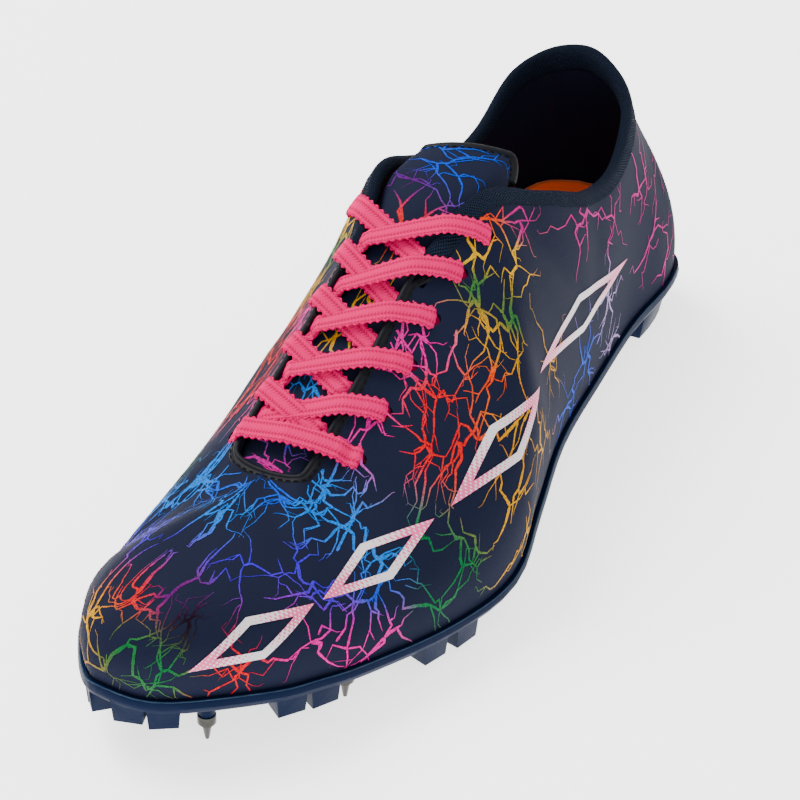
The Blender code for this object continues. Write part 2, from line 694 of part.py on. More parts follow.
def build_laces(last, parts, cutters, finish):
    """A straight bar over the first pair of eyelets and a crossing over each further pair,
    joined where they lie on each other."""
    turn = EYELET_TURNS[0]
    bar = lace_strap(last, turn, turn, LACE_THICKNESS * 1.1, "lace")
    lace = add_object("lace", bar, parts, finish)
    form = bmesh.new()
    for below, turn in zip(EYELET_TURNS, EYELET_TURNS[1:]):
        target = turn + (below - turn) * LACE_FALL
        for side, lift in ((1, LACE_THICKNESS * 0.6), (-1, 0)):
            form.from_mesh(lace_strap(last, side * turn, side * target, lift, "lace_run"))
    runs = add_object("lace_runs", form_mesh("lace_runs", form), cutters)
    runs.hide_render = True
    runs.display_type = "WIRE"
    add_modifier(lace, "BOOLEAN", operation="UNION", object=runs, use_self=True)


def centre_on_origin(parts, cutters):
    """Moves everything so that the origin lies under the middle of the shoe's box."""
    bpy.context.view_layer.update()
    graph = bpy.context.evaluated_depsgraph_get()
    corners = []
    for part in parts.objects:
        shape = part.evaluated_get(graph)
        corners += [part.matrix_world @ vert.co for vert in shape.data.vertices]
    low = [min(corner[axis] for corner in corners) for axis in range(3)]
    high = [max(corner[axis] for corner in corners) for axis in range(3)]
    shift = Vector((-(low[0] + high[0]) / 2, -(low[1] + high[1]) / 2, -low[2]))
    for part in list(parts.objects) + list(cutters.objects):
        part.location += shift


def build():
    """The whole shoe."""
    for old in list(bpy.data.objects):
        bpy.data.objects.remove(old)
    parts = bpy.data.collections.new("track_spike_shoe")
    cutters = bpy.data.collections.new("cutters")
    for collection in (parts, cutters):
        bpy.context.scene.collection.children.link(collection)
    navy = material("coated_fabric", (0.018, 0.022, 0.050), 0.55)
    knit = material("knit_mesh", (0.012, 0.018, 0.040), 0.9)
    foam = material("insole_foam", (0.80, 0.15, 0.02), 0.8)
    plate = material("moulded_plate", (0.010, 0.045, 0.130), 0.45)
    steel = material("spike_steel", (0.55, 0.53, 0.50), 0.3, 1.0)
    braid = material("lace_braid", (0.85, 0.04, 0.16), 0.8)
    last = Last()
    build_outsole(last, parts, cutters, plate)
    build_spikes(last, parts, steel)
    build_upper(last, parts, cutters, navy)
    build_collar(last, parts, knit)
    build_insole(last, parts, foam)
    build_tongue(last, parts, navy)
    build_laces(last, parts, cutters, braid)
    centre_on_origin(parts, cutters)


build()
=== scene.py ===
"""Track spike shoe for the left foot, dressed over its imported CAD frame."""
import math
import random

import bpy
import numpy as np
from mathutils import Matrix, Vector


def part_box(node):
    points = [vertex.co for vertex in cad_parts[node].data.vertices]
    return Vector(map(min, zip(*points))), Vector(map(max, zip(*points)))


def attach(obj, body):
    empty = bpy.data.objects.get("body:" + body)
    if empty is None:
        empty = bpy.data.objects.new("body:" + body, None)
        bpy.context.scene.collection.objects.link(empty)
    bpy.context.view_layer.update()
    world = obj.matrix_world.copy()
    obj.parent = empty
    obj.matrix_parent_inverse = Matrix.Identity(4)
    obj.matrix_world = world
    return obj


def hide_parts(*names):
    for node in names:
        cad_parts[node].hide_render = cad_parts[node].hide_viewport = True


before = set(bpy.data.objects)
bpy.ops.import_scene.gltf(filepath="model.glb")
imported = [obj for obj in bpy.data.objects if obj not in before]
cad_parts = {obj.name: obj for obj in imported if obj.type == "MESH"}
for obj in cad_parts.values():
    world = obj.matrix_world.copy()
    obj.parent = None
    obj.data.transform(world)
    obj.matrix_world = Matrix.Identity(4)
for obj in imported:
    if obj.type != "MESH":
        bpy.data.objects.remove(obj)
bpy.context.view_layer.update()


# Camera: a long lens from above the toe, a little to the outer side of the shoe. It is
# turned a degree on its own axis, as the photograph is.
ahead = Vector((-0.742, -0.378, -0.554)).normalized()
aside = ahead.cross(Vector((-0.485, -0.269, 0.832))).normalized()
above = aside.cross(ahead)
aim = Matrix((aside, above, -ahead)).transposed().to_euler()
bpy.ops.object.camera_add(location=(0.5694, 0.2812, 0.453), rotation=aim)
camera = bpy.context.object
camera.name = "camera"
camera.data.sensor_width = 36
camera.data.lens = 125.34
bpy.context.scene.camera = camera


# Studio: a wide white floor and three large soft lights, the main one from above on the left,
# so the shadow falls to the right and low.
def new_material(name, roughness, specular=0.5, colour=(1, 1, 1)):
    """A material, its node tree and its main shader."""
    made = bpy.data.materials.new(name)
    made.use_nodes = True
    tree = made.node_tree
    shader = tree.nodes["Principled BSDF"]
    shader.inputs["Base Color"].default_value = (*colour, 1)
    shader.inputs["Roughness"].default_value = roughness
    shader.inputs["Specular IOR Level"].default_value = specular
    return made, tree, shader


def add_node(tree, kind, settings, links=None):
    """A node with its settings, its inputs linked to the given sockets."""
    made = tree.nodes.new("ShaderNode" + kind)
    for key, value in settings.items():
        if isinstance(key, int) or key in made.inputs:
            made.inputs[key].default_value = value
        else:
            setattr(made, key, value)
    for key, socket in (links or {}).items():
        tree.links.new(socket, made.inputs[key])
    return made


def noise(tree, scale, detail):
    """A cloudy pattern over the piece."""
    place = add_node(tree, "TexCoord", {})
    made = add_node(tree, "TexNoise", {"Scale": scale, "Detail": detail},
                    {"Vector": place.outputs["Object"]})
    return made.outputs["Fac"]


bpy.ops.mesh.primitive_plane_add(size=8, location=(0, 0, -0.0002))
floor = bpy.context.object
floor.name = "floor"
white, tree, shader = new_material("studio_white", 0.9, colour=(0.93, 0.93, 0.93))
shader.inputs["Emission Color"].default_value = (1, 1, 1, 1)
shader.inputs["Emission Strength"].default_value = 2.0
tone = add_node(tree, "MapRange", {"To Min": 0.86, "To Max": 0.92}, {"Value": noise(tree, 3, 2)})
tree.links.new(tone.outputs["Result"], shader.inputs["Roughness"])
floor.data.materials.append(white)

sky = bpy.data.worlds.new("studio")
sky.use_nodes = True
sky.node_tree.nodes["Background"].inputs["Color"].default_value = (1, 1, 1, 1)
sky.node_tree.nodes["Background"].inputs["Strength"].default_value = 0.85
bpy.context.scene.world = sky

LIGHTS = [
    ("key", (-0.10, -1.10, 1.70), 1.2, 68),
    ("fill", (1.30, 1.10, 1.20), 1.6, 14),
    ("rim", (-1.40, 0.60, 1.30), 1.2, 4),
]
for name, spot, size, power in LIGHTS:
    bpy.ops.object.light_add(type="AREA", location=spot)
    lamp = bpy.context.object
    lamp.name = name
    lamp.data.size = size
    lamp.data.energy = power
    lamp.rotation_euler = (-Vector(spot)).to_track_quat("-Z", "Y").to_euler()


# Outsole: one deep blue moulded plate with its lugs, teeth, heel block and spike seats. Its
# edges are rounded a little, and a pale line of painted highlight runs along its top edge.
def merged_copy(source, name):
    """A copy of a CAD node with its doubled points merged."""
    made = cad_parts[source].copy()
    made.data = made.data.copy()
    made.name = name
    made.parent = None
    made.matrix_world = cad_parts[source].matrix_world
    bpy.context.scene.collection.objects.link(made)
    edit(made)
    bpy.ops.mesh.remove_doubles(threshold=0.00002)
    bpy.ops.mesh.normals_make_consistent(inside=False)
    bpy.ops.object.mode_set(mode="OBJECT")
    bpy.ops.object.transform_apply(location=True, rotation=True, scale=True)
    made.data.materials.clear()
    return made


def edit(piece):
    """Opens a piece in edit mode with everything on it selected."""
    bpy.ops.object.select_all(action="DESELECT")
    piece.select_set(True)
    bpy.context.view_layer.objects.active = piece
    bpy.ops.object.mode_set(mode="EDIT")
    bpy.ops.mesh.select_all(action="SELECT")


def apply_modifier(piece, kind, **settings):
    """Adds a modifier and applies it."""
    bpy.ops.object.select_all(action="DESELECT")
    piece.select_set(True)
    bpy.context.view_layer.objects.active = piece
    modifier = piece.modifiers.new(kind.title(), kind)
    for key, value in settings.items():
        setattr(modifier, key, value)
    bpy.ops.object.modifier_apply(modifier=modifier.name)


def bump(tree, shader, socket, strength, distance):
    """Lets a socket raise and lower the surface."""
    made = add_node(tree, "Bump", {"Strength": strength, "Distance": distance},
                    {"Height": socket})
    tree.links.new(made.outputs["Normal"], shader.inputs["Normal"])


def two_tones(tree, shader, socket, first, second):
    """Colours the piece from the first colour to the second as a socket goes from 0 to 1."""
    shade = add_node(tree, "Mix", {"data_type": "RGBA"})
    shade.inputs[6].default_value = (*first, 1)
    shade.inputs[7].default_value = (*second, 1)
    tree.links.new(socket, shade.inputs[0])
    tree.links.new(shade.outputs[2], shader.inputs["Base Color"])


def spike_place(number):
    """The middle of a spike, and its lowest and highest places."""
    low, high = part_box(f"spike_{number}")
    return Vector(((low[0] + high[0]) / 2, (low[1] + high[1]) / 2)), low[2], high[2]


# The spike seats are narrowed to the necks that the washers of the real spikes hide.
SEAT_REACH = 0.0044
SEAT_NARROWED = 0.55
outsole = merged_copy("outsole", "moulded_sole")
for number in range(1, 7):
    middle = spike_place(number)[0]
    for point in outsole.data.vertices:
        away = point.co.xy - middle
        if away.length < SEAT_REACH and point.normal.z < 0.5:
            point.co.xy = middle + away * SEAT_NARROWED
apply_modifier(outsole, "BEVEL", width=0.00035, segments=2, angle_limit=math.radians(35))
bpy.ops.object.shade_smooth_by_angle(angle=math.radians(45))
plastic, tree, shader = new_material("moulded_blue", 0.42, 0.05)
two_tones(tree, shader, noise(tree, 45, 4), (0.0002, 0.0042, 0.021), (0.0005, 0.0068, 0.031))
bump(tree, shader, noise(tree, 900, 3), 0.25, 0.0002)
outsole.data.materials.append(plastic)
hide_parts("outsole")
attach(outsole, "root")


# Spikes: bare turned steel, screwed into their seats: a washer, a boss and a tapered pin.
WASHER_RADIUS = 0.0024
WASHER_HEIGHT = 0.0026
WASHER_RISE = 0.0006
PIN_LENGTH = 0.0043
steel, tree, shader = new_material("turned_steel", 0.3, colour=(0.060, 0.056, 0.050))
shader.inputs["Metallic"].default_value = 1
place = add_node(tree, "TexCoord", {})
rings = add_node(tree, "TexWave", {"Scale": 900, "bands_direction": "Z", "Distortion": 0.4},
                 {"Vector": place.outputs["Object"]})
bump(tree, shader, rings.outputs["Fac"], 0.12, 0.00005)
for number in range(1, 7):
    middle, tip, seat = spike_place(number)
    bpy.ops.mesh.primitive_cylinder_add(vertices=32, radius=WASHER_RADIUS, depth=WASHER_HEIGHT,
                                        location=(*middle, seat + WASHER_RISE))
    spike = bpy.context.object
    spike.name = f"steel_spike_{number}"
    bpy.ops.object.transform_apply(location=True)
    edit(spike)
    bpy.ops.mesh.select_all(action="DESELECT")
    bpy.ops.mesh.select_mode(type="FACE")
    bpy.ops.object.mode_set(mode="OBJECT")
    for face in spike.data.polygons:
        face.select = face.normal.z < -0.9
    bpy.ops.object.mode_set(mode="EDIT")
    for inset, drop in ((0.0008, 0.0), (0.0, 0.0010), (0.00035, 0.0)):
        if inset:
            bpy.ops.mesh.inset(thickness=inset)
        if drop:
            bpy.ops.mesh.extrude_region_move(TRANSFORM_OT_translate={"value": (0, 0, -drop)})
    bpy.ops.mesh.extrude_region_move(TRANSFORM_OT_translate={"value": (0, 0, -PIN_LENGTH)})
    bpy.ops.transform.resize(value=(0.42, 0.42, 1), center_override=(*middle, tip))
    bpy.ops.object.mode_set(mode="OBJECT")
    apply_modifier(spike, "BEVEL", width=0.00012, segments=2, angle_limit=math.radians(30))
    bpy.ops.object.shade_smooth_by_angle(angle=math.radians(35))
    spike.data.materials.append(steel)
    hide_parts(f"spike_{number}")
    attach(spike, "root")


# Insole: orange foam with a fabric face, cupped around the heel. It lies loose in the shoe.
insole = merged_copy("insole", "foam_insole")
apply_modifier(insole, "BEVEL", width=0.0005, segments=2, angle_limit=math.radians(40))
bpy.ops.object.shade_smooth_by_angle(angle=math.radians(60))
foam, tree, shader = new_material("orange_foam", 0.85, colour=(1.0, 0.14, 0.006))
bump(tree, shader, noise(tree, 1400, 4), 0.5, 0.0003)
shader.inputs["Sheen Weight"].default_value = 0.3
insole.data.materials.append(foam)
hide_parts("insole")
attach(insole, "root")


# Upper: one skin of dark coated fabric, moulded over the last and glued into the sole's lip,
# open at the throat and the ankle. It lies on the same ribs as the CAD: each rib is a curve
# from the feather line up to the top line, and a turn is a place around the shoe, in rows
# from the toe tip, + on the outer side and - on the inner.
LENGTH = 0.275
BALL_WIDTH = 0.0868
HEEL_WIDTH = 0.058
INSTEP_HEIGHT = 0.0895
HEEL_HEIGHT = 0.0855
TOE_HEIGHT = 0.043
THROAT_GAP = 0.0215
FEATHER_HEIGHT = 0.0108
HEEL_LIFT = 0.0048
TOE_SPRING = 0.0112
UPPER_WALL = 0.0018
COLLAR_BAND = 0.0055
CENTRE = np.array([-0.1386, -0.0058, 0.0])
# along_out, out, along_in, inner, fore, heel, toe, lean, hold
FOOT_ROWS = [
    (0.008, 0.000, 0.008, 0.000, 0.00, 0.74, 0.00, 8, 0.35),
    (0.026, 0.379, 0.024, -0.345, 0.00, 0.77, 0.00, 6, 0.42),
    (0.082, 0.491, 0.084, -0.512, 0.00, 0.82, 0.00, -1, 0.35),
    (0.188, 0.497, 0.189, -0.530, 0.00, 0.90, 0.00, -2, 0.35),
    (0.308, 0.516, 0.309, -0.436, 0.15, 1.00, 0.00, 4, 0.35),
    (0.427, 0.517, 0.429, -0.331, 0.40, 0.88, 0.00, 8, 0.35),
    (0.538, 0.554, 0.549, -0.355, 0.70, 0.44, 0.00, 9, 0.39),
    (0.638, 0.588, 0.658, -0.423, 0.90, 0.00, 0.00, 8, 0.34),
    (0.735, 0.520, 0.767, -0.434, 1.00, 0.00, 0.12, 7, 0.31),
    (0.833, 0.408, 0.866, -0.414, 1.00, 0.00, 0.39, 6, 0.35),
    (0.881, 0.331, 0.906, -0.389, 1.00, 0.00, 0.53, 7, 0.38),
    (0.922, 0.242, 0.937, -0.337, 1.00, 0.00, 0.64, 9, 0.42),
    (0.985, 0.013, 0.980, -0.238, 1.00, 0.00, 0.77, 17, 0.55),
    (1.000, -0.150, 1.000, -0.150, 1.00, 0.00, 1.00, 17, 0.55),
]
# along, ridge, collar, throat, heel, instep, toe, slope_out, hold_out, slope_in, hold_in, band
TOP_ROWS = [
    (0.073, -0.040, 0.000, 0.00, 1.000, 0.000, 0.000, 82, 0.35, 82, 0.35, 1.6),
    (0.091, -0.040, 0.207, 0.00, 0.974, 0.000, 0.000, 79, 0.29, 79, 0.29, 1.6),
    (0.128, -0.027, 0.345, 0.00, 0.908, 0.000, 0.000, 80, 0.35, 80, 0.35, 1.4),
    (0.193, -0.006, 0.391, 0.00, 0.550, 0.241, 0.000, 79, 0.35, 79, 0.35, 1.0),
    (0.269, 0.003, 0.391, 0.00, 0.350, 0.446, 0.000, 71, 0.35, 75, 0.35, 0.8),
    (0.353, -0.020, 0.360, 0.00, 0.000, 0.894, 0.000, 59, 0.40, 68, 0.35, 0.8),
    (0.441, -0.050, 0.000, 0.72, 0.000, 1.000, 0.000, 44, 0.45, 63, 0.36, 1.0),
    (0.524, -0.044, 0.000, 0.48, 0.000, 0.905, 0.000, 35, 0.48, 62, 0.39, 1.0),
    (0.628, -0.059, 0.000, 0.49, 0.000, 0.550, 0.345, 33, 0.52, 64, 0.43, 0.0),
    (0.722, -0.085, 0.000, 0.51, 0.000, 0.130, 0.840, 28, 0.51, 57, 0.44, 0.0),
    (0.746, -0.077, 0.000, 0.37, 0.000, 0.000, 1.040, 18, 0.49, 36, 0.43, 0.0),
    (0.753, -0.083, 0.000, 0.00, 0.000, 0.000, 1.022, 8, 0.47, 12, 0.42, 0.0),
    (0.848, -0.112, 0.000, 0.00, 0.000, 0.000, 0.998, 4, 0.50, 4, 0.42, 0.0),
    (0.921, -0.150, 0.000, 0.00, 0.000, 0.000, 0.970, 1, 0.50, 1, 0.50, 0.0),
]
LAST_ROW = 13
ROW_STEPS = 4
THROAT_TURN = 2
COLLAR_END = 5.75


def curve(rows, index, closed=True):
    """A smooth curve through rows of points, read at places between them."""
    low = np.floor(index).astype(int)
    part = (index - low).reshape(index.shape + (1,) * (rows.ndim - 1))
    near = [low + step for step in (-1, 0, 1, 2)]
    if closed:
        a, b, c, d = (rows[place % len(rows)] for place in near)
    else:
        a, b, c, d = (rows[np.clip(place, 0, len(rows) - 1)] for place in near)
    return 0.5 * (2 * b + (c - a) * part + (2 * a - 5 * b + 4 * c - d) * part ** 2
                  + (3 * b - a - 3 * c + d) * part ** 3)


def unit(vectors):
    """Vectors made one long."""
    return vectors / (np.linalg.norm(vectors, axis=-1, keepdims=True) + 1e-12)


foot, top, shape = [], [], []
ring = [(row, 1) for row in range(LAST_ROW, -1, -1)] + [(row, -1) for row in range(1, LAST_ROW)]
for row, side in ring:
    along_out, out, along_in, inner, fore, heel, toe, lean, hold = FOOT_ROWS[row]
    width = HEEL_WIDTH + fore * (BALL_WIDTH - HEEL_WIDTH)
    along, across = (along_out, out) if side > 0 else (along_in, inner)
    rise = FEATHER_HEIGHT + heel * HEEL_LIFT + toe * TOE_SPRING
    foot.append((along * LENGTH, across * width, rise))
    along, ridge, collar_half, throat, heel, instep, toe, *ends, band = TOP_ROWS[row]
    half = collar_half * HEEL_WIDTH + throat * THROAT_GAP
    rise = heel * HEEL_HEIGHT + instep * INSTEP_HEIGHT + toe * TOE_HEIGHT
    top.append((along * LENGTH, ridge * BALL_WIDTH, rise, side * half))
    shape.append((lean, hold, *(ends[:2] if side > 0 else ends[2:]), band))
every_rib = np.arange(len(ring) * ROW_STEPS) / ROW_STEPS
foot, top, shape = (curve(np.array(rows), every_rib) for rows in (foot, top, shape))
ribs = len(every_rib)
side = np.where(np.arange(ribs) <= ribs // 2, 1, -1)
half = np.maximum(top[:, 3] * side, 0) * side
from_toe = np.minimum(np.arange(ribs), ribs - np.arange(ribs)) / ROW_STEPS
half = np.where(from_toe <= THROAT_TURN, 0, half)
top = np.stack([top[:, 0], top[:, 1] + half, top[:, 2]], 1)
band_height = np.clip(shape[:, 4:], 0, None) * COLLAR_BAND

level = np.roll(foot, -1, 0) - np.roll(foot, 1, 0)
outward = unit(np.stack([level[:, 1], -level[:, 0], 0 * level[:, 0]], 1))
reach = np.linalg.norm(top - foot, axis=1, keepdims=True)
lean, slope = np.radians(shape[:, :1]), np.radians(shape[:, 2:3])
up = np.array([0, 0, 1.0])
fall = foot - top
run = np.roll(top, -1, 0) - np.roll(top, 1, 0)
run = unit(np.where(np.abs(run).sum(1, keepdims=True) < 0.0003, [0, 1, 0], run))
beside = unit(np.stack([run[:, 1], -run[:, 0], 0 * run[:, 0]], 1))
beside = beside * np.cos(slope) - up * np.sin(slope)
beside = unit(beside - run * np.sum(beside * run, axis=1, keepdims=True))
along = np.sum(fall[:, :2] * run[:, :2], axis=1, keepdims=True)
ending = unit(run * along + beside * np.sum(fall * beside, axis=1, keepdims=True))
high = top + ending * shape[:, 3:4] * reach
high = sum(np.roll(high, move, 0) * (3 - abs(move)) for move in range(-2, 3)) / 9
low = foot + (outward * np.sin(lean) + up * np.cos(lean)) * shape[:, 1:2] * reach
controls = np.stack([foot, low, high, top], 1) + CENTRE


def bare_skin(turns, shares):
    """Points of the last: share 0 is the feather line and 1 the top line."""
    turns, shares = np.broadcast_arrays(np.asarray(turns, float), np.asarray(shares, float))
    a, b, c, d = np.moveaxis(curve(controls, turns * ROW_STEPS), -2, 0)
    s = shares[..., None]
    return (1 - s) ** 3 * a + 3 * (1 - s) ** 2 * s * b + 3 * (1 - s) * s * s * c + s ** 3 * d


def skin_normal(turns, shares):
    """The skin's outward direction."""
    turns, shares = np.broadcast_arrays(np.asarray(turns, float), np.asarray(shares, float))
    low, high = np.clip(shares - 0.02, 0, 1), np.clip(shares + 0.02, 0, 1)
    rising = bare_skin(turns, high) - bare_skin(turns, low)
    level = bare_skin(turns + 0.12, shares) - bare_skin(turns - 0.12, shares)
    flat = np.linalg.norm(level, axis=-1, keepdims=True) < 1e-5
    level = np.where(flat, bare_skin(turns + 0.12, 0) - bare_skin(turns - 0.12, 0), level)
    return unit(np.cross(level, rising))


# Each crease: turn and share of its two ends, its depth (- for a raised fold) and its width.
CREASES = [
    (2.3, 0.80, 3.4, 0.40, 0.0006, 0.006),
    (-2.3, 0.82, -3.2, 0.45, 0.0005, 0.006),
    (4.0, 0.90, 5.3, 0.30, 0.0005, 0.007),
    (6.6, 0.80, 7.4, 0.35, 0.0008, 0.009),
    (7.7, 0.88, 8.6, 0.55, 0.0005, 0.006),
    (-6.6, 0.80, -7.6, 0.35, 0.0007, 0.009),
    (9.2, 0.95, 9.0, 0.50, 0.0005, 0.007),
    (5.9, 0.55, 6.3, 0.10, -0.0005, 0.008),
    (-5.9, 0.55, -6.3, 0.10, -0.0005, 0.008),
]
crease_lines = [bare_skin(np.linspace(a, c, 24), np.linspace(b, d, 24))
                for a, b, c, d, depth, width in CREASES]


def skin(turns, shares, lift=0.0):
    """Points of the worn shoe's surface, or lift above it."""
    points = bare_skin(turns, shares)
    sunk = np.zeros(points.shape[:-1])
    for line, (*ends, depth, width) in zip(crease_lines, CREASES):
        apart = np.min(np.linalg.norm(points[..., None, :] - line, axis=-1), axis=-1)
        sunk += depth * np.exp(-(apart / width) ** 2)
    lift = np.broadcast_to(lift, sunk.shape)
    return points + skin_normal(turns, shares) * (lift - sunk)[..., None]


def share_below(turns, distance):
    """The share that lies a distance down the skin from the top line."""
    turns = np.atleast_1d(np.asarray(turns, float))
    distance = np.broadcast_to(distance, turns.shape)
    shares = np.linspace(1, 0, 81)
    points = bare_skin(turns[:, None], shares[None, :])
    steps = np.linalg.norm(np.diff(points, axis=1), axis=-1)
    travelled = np.concatenate([np.zeros((len(turns), 1)), np.cumsum(steps, axis=1)], axis=1)
    return np.array([np.interp(d, t, shares) for d, t in zip(distance, travelled)])


def band_at(turns):
    """Height of the knitted collar at each turn, or nothing in front of its ends."""
    turns = np.asarray(turns, float)
    height = curve(band_height, turns * ROW_STEPS)[..., 0]
    from_toe = np.abs((turns + LAST_ROW) % (2 * LAST_ROW) - LAST_ROW)
    return np.where(from_toe >= COLLAR_END, height, 0)


def grid(name, across, along, laid):
    """A grid of across by along faces whose points are laid by a function of the two shares."""
    bpy.ops.mesh.primitive_grid_add(x_subdivisions=across, y_subdivisions=along, size=1)
    made = bpy.context.object
    made.name = name
    count = len(made.data.vertices)
    flat = np.empty(count * 3)
    made.data.vertices.foreach_get("co", flat)
    flat = flat.reshape(count, 3)
    made.data.vertices.foreach_set("co", laid(flat[:, 0] + 0.5, flat[:, 1] + 0.5).ravel())
    made.data.update()
    bpy.ops.object.shade_smooth()
    return made


def close_up(piece, crowded=0.00001):
    """Merges the doubled or crowded points of a piece and turns its faces outwards."""
    edit(piece)
    bpy.ops.mesh.remove_doubles(threshold=crowded)
    bpy.ops.mesh.normals_make_consistent(inside=False)
    bpy.ops.object.mode_set(mode="OBJECT")


def upper_skin(u, v):
    """The upper's outer face, with a hidden hem that reaches down inside the sole's lip."""
    turns = (u - 0.5) * 2 * LAST_ROW
    columns, place = np.unique(turns, return_inverse=True)
    edge = np.where(band_at(columns) > 0, share_below(columns, band_at(columns) + 0.0003), 1.0)
    share = np.clip((v - 0.02) / 0.98, 0, 1) * edge[place]
    points = skin(turns, share)
    points[:, 2] -= np.clip(0.02 - v, 0, 1) / 0.02 * 0.0013
    return points


upper = grid("coated_upper", 416, 60, upper_skin)
close_up(upper, 0.0002)
ridge = bare_skin(np.linspace(0, THROAT_TURN, 40), 1.0)
wall = upper.vertex_groups.new(name="wall")
for point in upper.data.vertices:
    apart = np.min(np.linalg.norm(ridge - np.array(point.co), axis=1))
    wall.add([point.index], float(np.clip((apart - 0.002) / 0.008, 0.1, 1)), "REPLACE")
apply_modifier(upper, "SOLIDIFY", thickness=UPPER_WALL, offset=-1, material_offset=1,
               material_offset_rim=0, vertex_group="wall")

# Six pairs of punched holes for the lace, with no metal in them.
EYELET_TURNS = [4.41, 4.83, 5.26, 5.68, 6.20, 6.84]
EYELET_SETBACK = 0.0120
EYELET_RADIUS = 0.0017
punches = []
for turn in EYELET_TURNS + [-turn for turn in EYELET_TURNS]:
    share = share_below(turn, EYELET_SETBACK)
    centre = Vector(skin(turn, share)[0])
    facing = Vector(skin_normal(turn, share)[0]).to_track_quat("Z", "Y").to_euler()
    bpy.ops.mesh.primitive_cylinder_add(vertices=24, radius=EYELET_RADIUS, depth=0.008,
                                        location=centre, rotation=facing)
    punches.append(bpy.context.object)
bpy.ops.object.select_all(action="DESELECT")
for punch in punches:
    punch.select_set(True)
bpy.context.view_layer.objects.active = punches[0]
bpy.ops.object.join()
punch = bpy.context.object
apply_modifier(upper, "BOOLEAN", operation="DIFFERENCE", object=punch)
bpy.data.objects.remove(punch)
bpy.ops.object.shade_smooth_by_angle(angle=math.radians(50))

coated, tree, shader = new_material("coated_navy", 0.7, 0.05)
cloud = noise(tree, 22, 5)
two_tones(tree, shader, cloud, (0.0054, 0.0074, 0.0210), (0.0082, 0.0108, 0.0275))
gloss = add_node(tree, "MapRange", {"To Min": 0.62, "To Max": 0.76}, {"Value": cloud})
tree.links.new(gloss.outputs["Result"], shader.inputs["Roughness"])
bump(tree, shader, noise(tree, 2600, 3), 0.35, 0.0002)

lining, tree, shader = new_material("dark_lining", 0.9, colour=(0.003, 0.0035, 0.007))
place = add_node(tree, "TexCoord", {})
rows = add_node(tree, "TexWave", {"Scale": 190, "bands_direction": "X", "Distortion": 1.5},
                {"Vector": place.outputs["Object"]})
bump(tree, shader, rows.outputs["Fac"], 0.5, 0.0004)
shader.inputs["Sheen Weight"].default_value = 0.2
upper.data.materials.append(coated)
upper.data.materials.append(lining)
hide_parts("upper")
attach(upper, "root")


# Throat edge: the upper's raw edge is rolled in a thin black tape and held by one line of
# stitches. It runs down both eyestays and around the bottom of the throat.
SWEPT_GIRTH = 0.0145


def change_uv(piece, change):
    """Moves a piece's UV places by a function of them."""
    lay = piece.data.uv_layers.active.data
    flat = np.empty(len(lay) * 2)
    lay.foreach_get("uv", flat)
    lay.foreach_set("uv", change(flat.reshape(-1, 2)).ravel())


def swept(name, path, ups, section, along, around):
    """A tube or strap on a path, drawn to a point at both ends. The section gives how far
    sideways and upwards it reaches, for a length along it and an angle around it."""
    travelled = np.cumsum(np.linalg.norm(np.diff(path, axis=0), axis=1))
    travelled = np.concatenate([[0], travelled])
    length = travelled[-1]

    def laid(u, v):
        index = np.interp(u * length, travelled, np.arange(len(path)))
        centre = curve(path, index, closed=False)
        forward = unit(curve(path, index + 0.1, closed=False)
                       - curve(path, index - 0.1, closed=False))
        sideways = unit(np.cross(unit(curve(ups, index, closed=False)), forward))
        rise = np.cross(forward, sideways)
        side, height = section(u * length, v * 2 * math.pi)
        end = np.clip(np.minimum(u, 1 - u) * along / 3, 0, 1) ** 0.5
        return centre + (sideways * side[:, None] + rise * height[:, None]) * end[:, None]

    made = grid(name, along, around, laid)
    change_uv(made, lambda flat: flat * (length, SWEPT_GIRTH))
    close_up(made)
    return made


def oval_section(half_width, half_height):
    """The section of a round or flat tube."""
    return lambda length, angle: (half_width * np.cos(angle), half_height * np.sin(angle))


STITCH_RADIUS = 0.00022
STITCH_PITCH = 0.0021


def stitch_section(length, angle):
    """The section of a sewing thread that dips into the cloth between its stitches."""
    shown = np.clip(1.6 * np.cos(2 * math.pi * length / STITCH_PITCH) + 1.1, 0, 1)
    height = STITCH_RADIUS * (np.sin(angle) - 3 * (1 - shown))
    return STITCH_RADIUS * np.cos(angle), height


half = np.concatenate([np.linspace(COLLAR_END + 0.1, 3.1, 30), [2.85, 2.6]])
turns = np.concatenate([half, [THROAT_TURN], -half[::-1]])
edge = skin(turns, 1.0)
facing = skin_normal(turns, 0.97)
for again in range(2):
    edge[29:36] = (edge[28:35] + 2 * edge[29:36] + edge[30:37]) / 4
    facing[1:-1] = unit(facing[:-2] + facing[1:-1] + facing[2:])


def throat_path(distance, lift):
    """A path around the throat, a distance outside its edge, and the skin's directions there."""
    forward = unit(np.gradient(edge, axis=0))
    outside = unit(np.cross(facing, forward))
    path = edge + outside * distance
    if distance > 0.001:
        path = [upper.closest_point_on_mesh(Vector(place))[1] for place in path]
    path = np.array(path) + facing * lift
    path[1:-1] = (path[:-2] + 2 * path[1:-1] + path[2:]) / 4
    return path, facing


def ramp(tree, shader, socket, *stops):
    """Colours the piece by a socket, from two stops of a value and its colour."""
    shade = add_node(tree, "ValToRGB", {}, {"Fac": socket})
    for element, (value, colour) in zip(shade.color_ramp.elements, stops):
        element.position = value
        element.color = (*colour, 1)
    tree.links.new(shade.outputs["Color"], shader.inputs["Base Color"])


black, tree, shader = new_material("black_tape", 0.55, 0.12)
worn = noise(tree, 420, 5)
ramp(tree, shader, worn, (0.62, (0.003, 0.0035, 0.006)), (0.80, (0.05, 0.03, 0.038)))
bump(tree, shader, worn, 0.4, 0.0002)

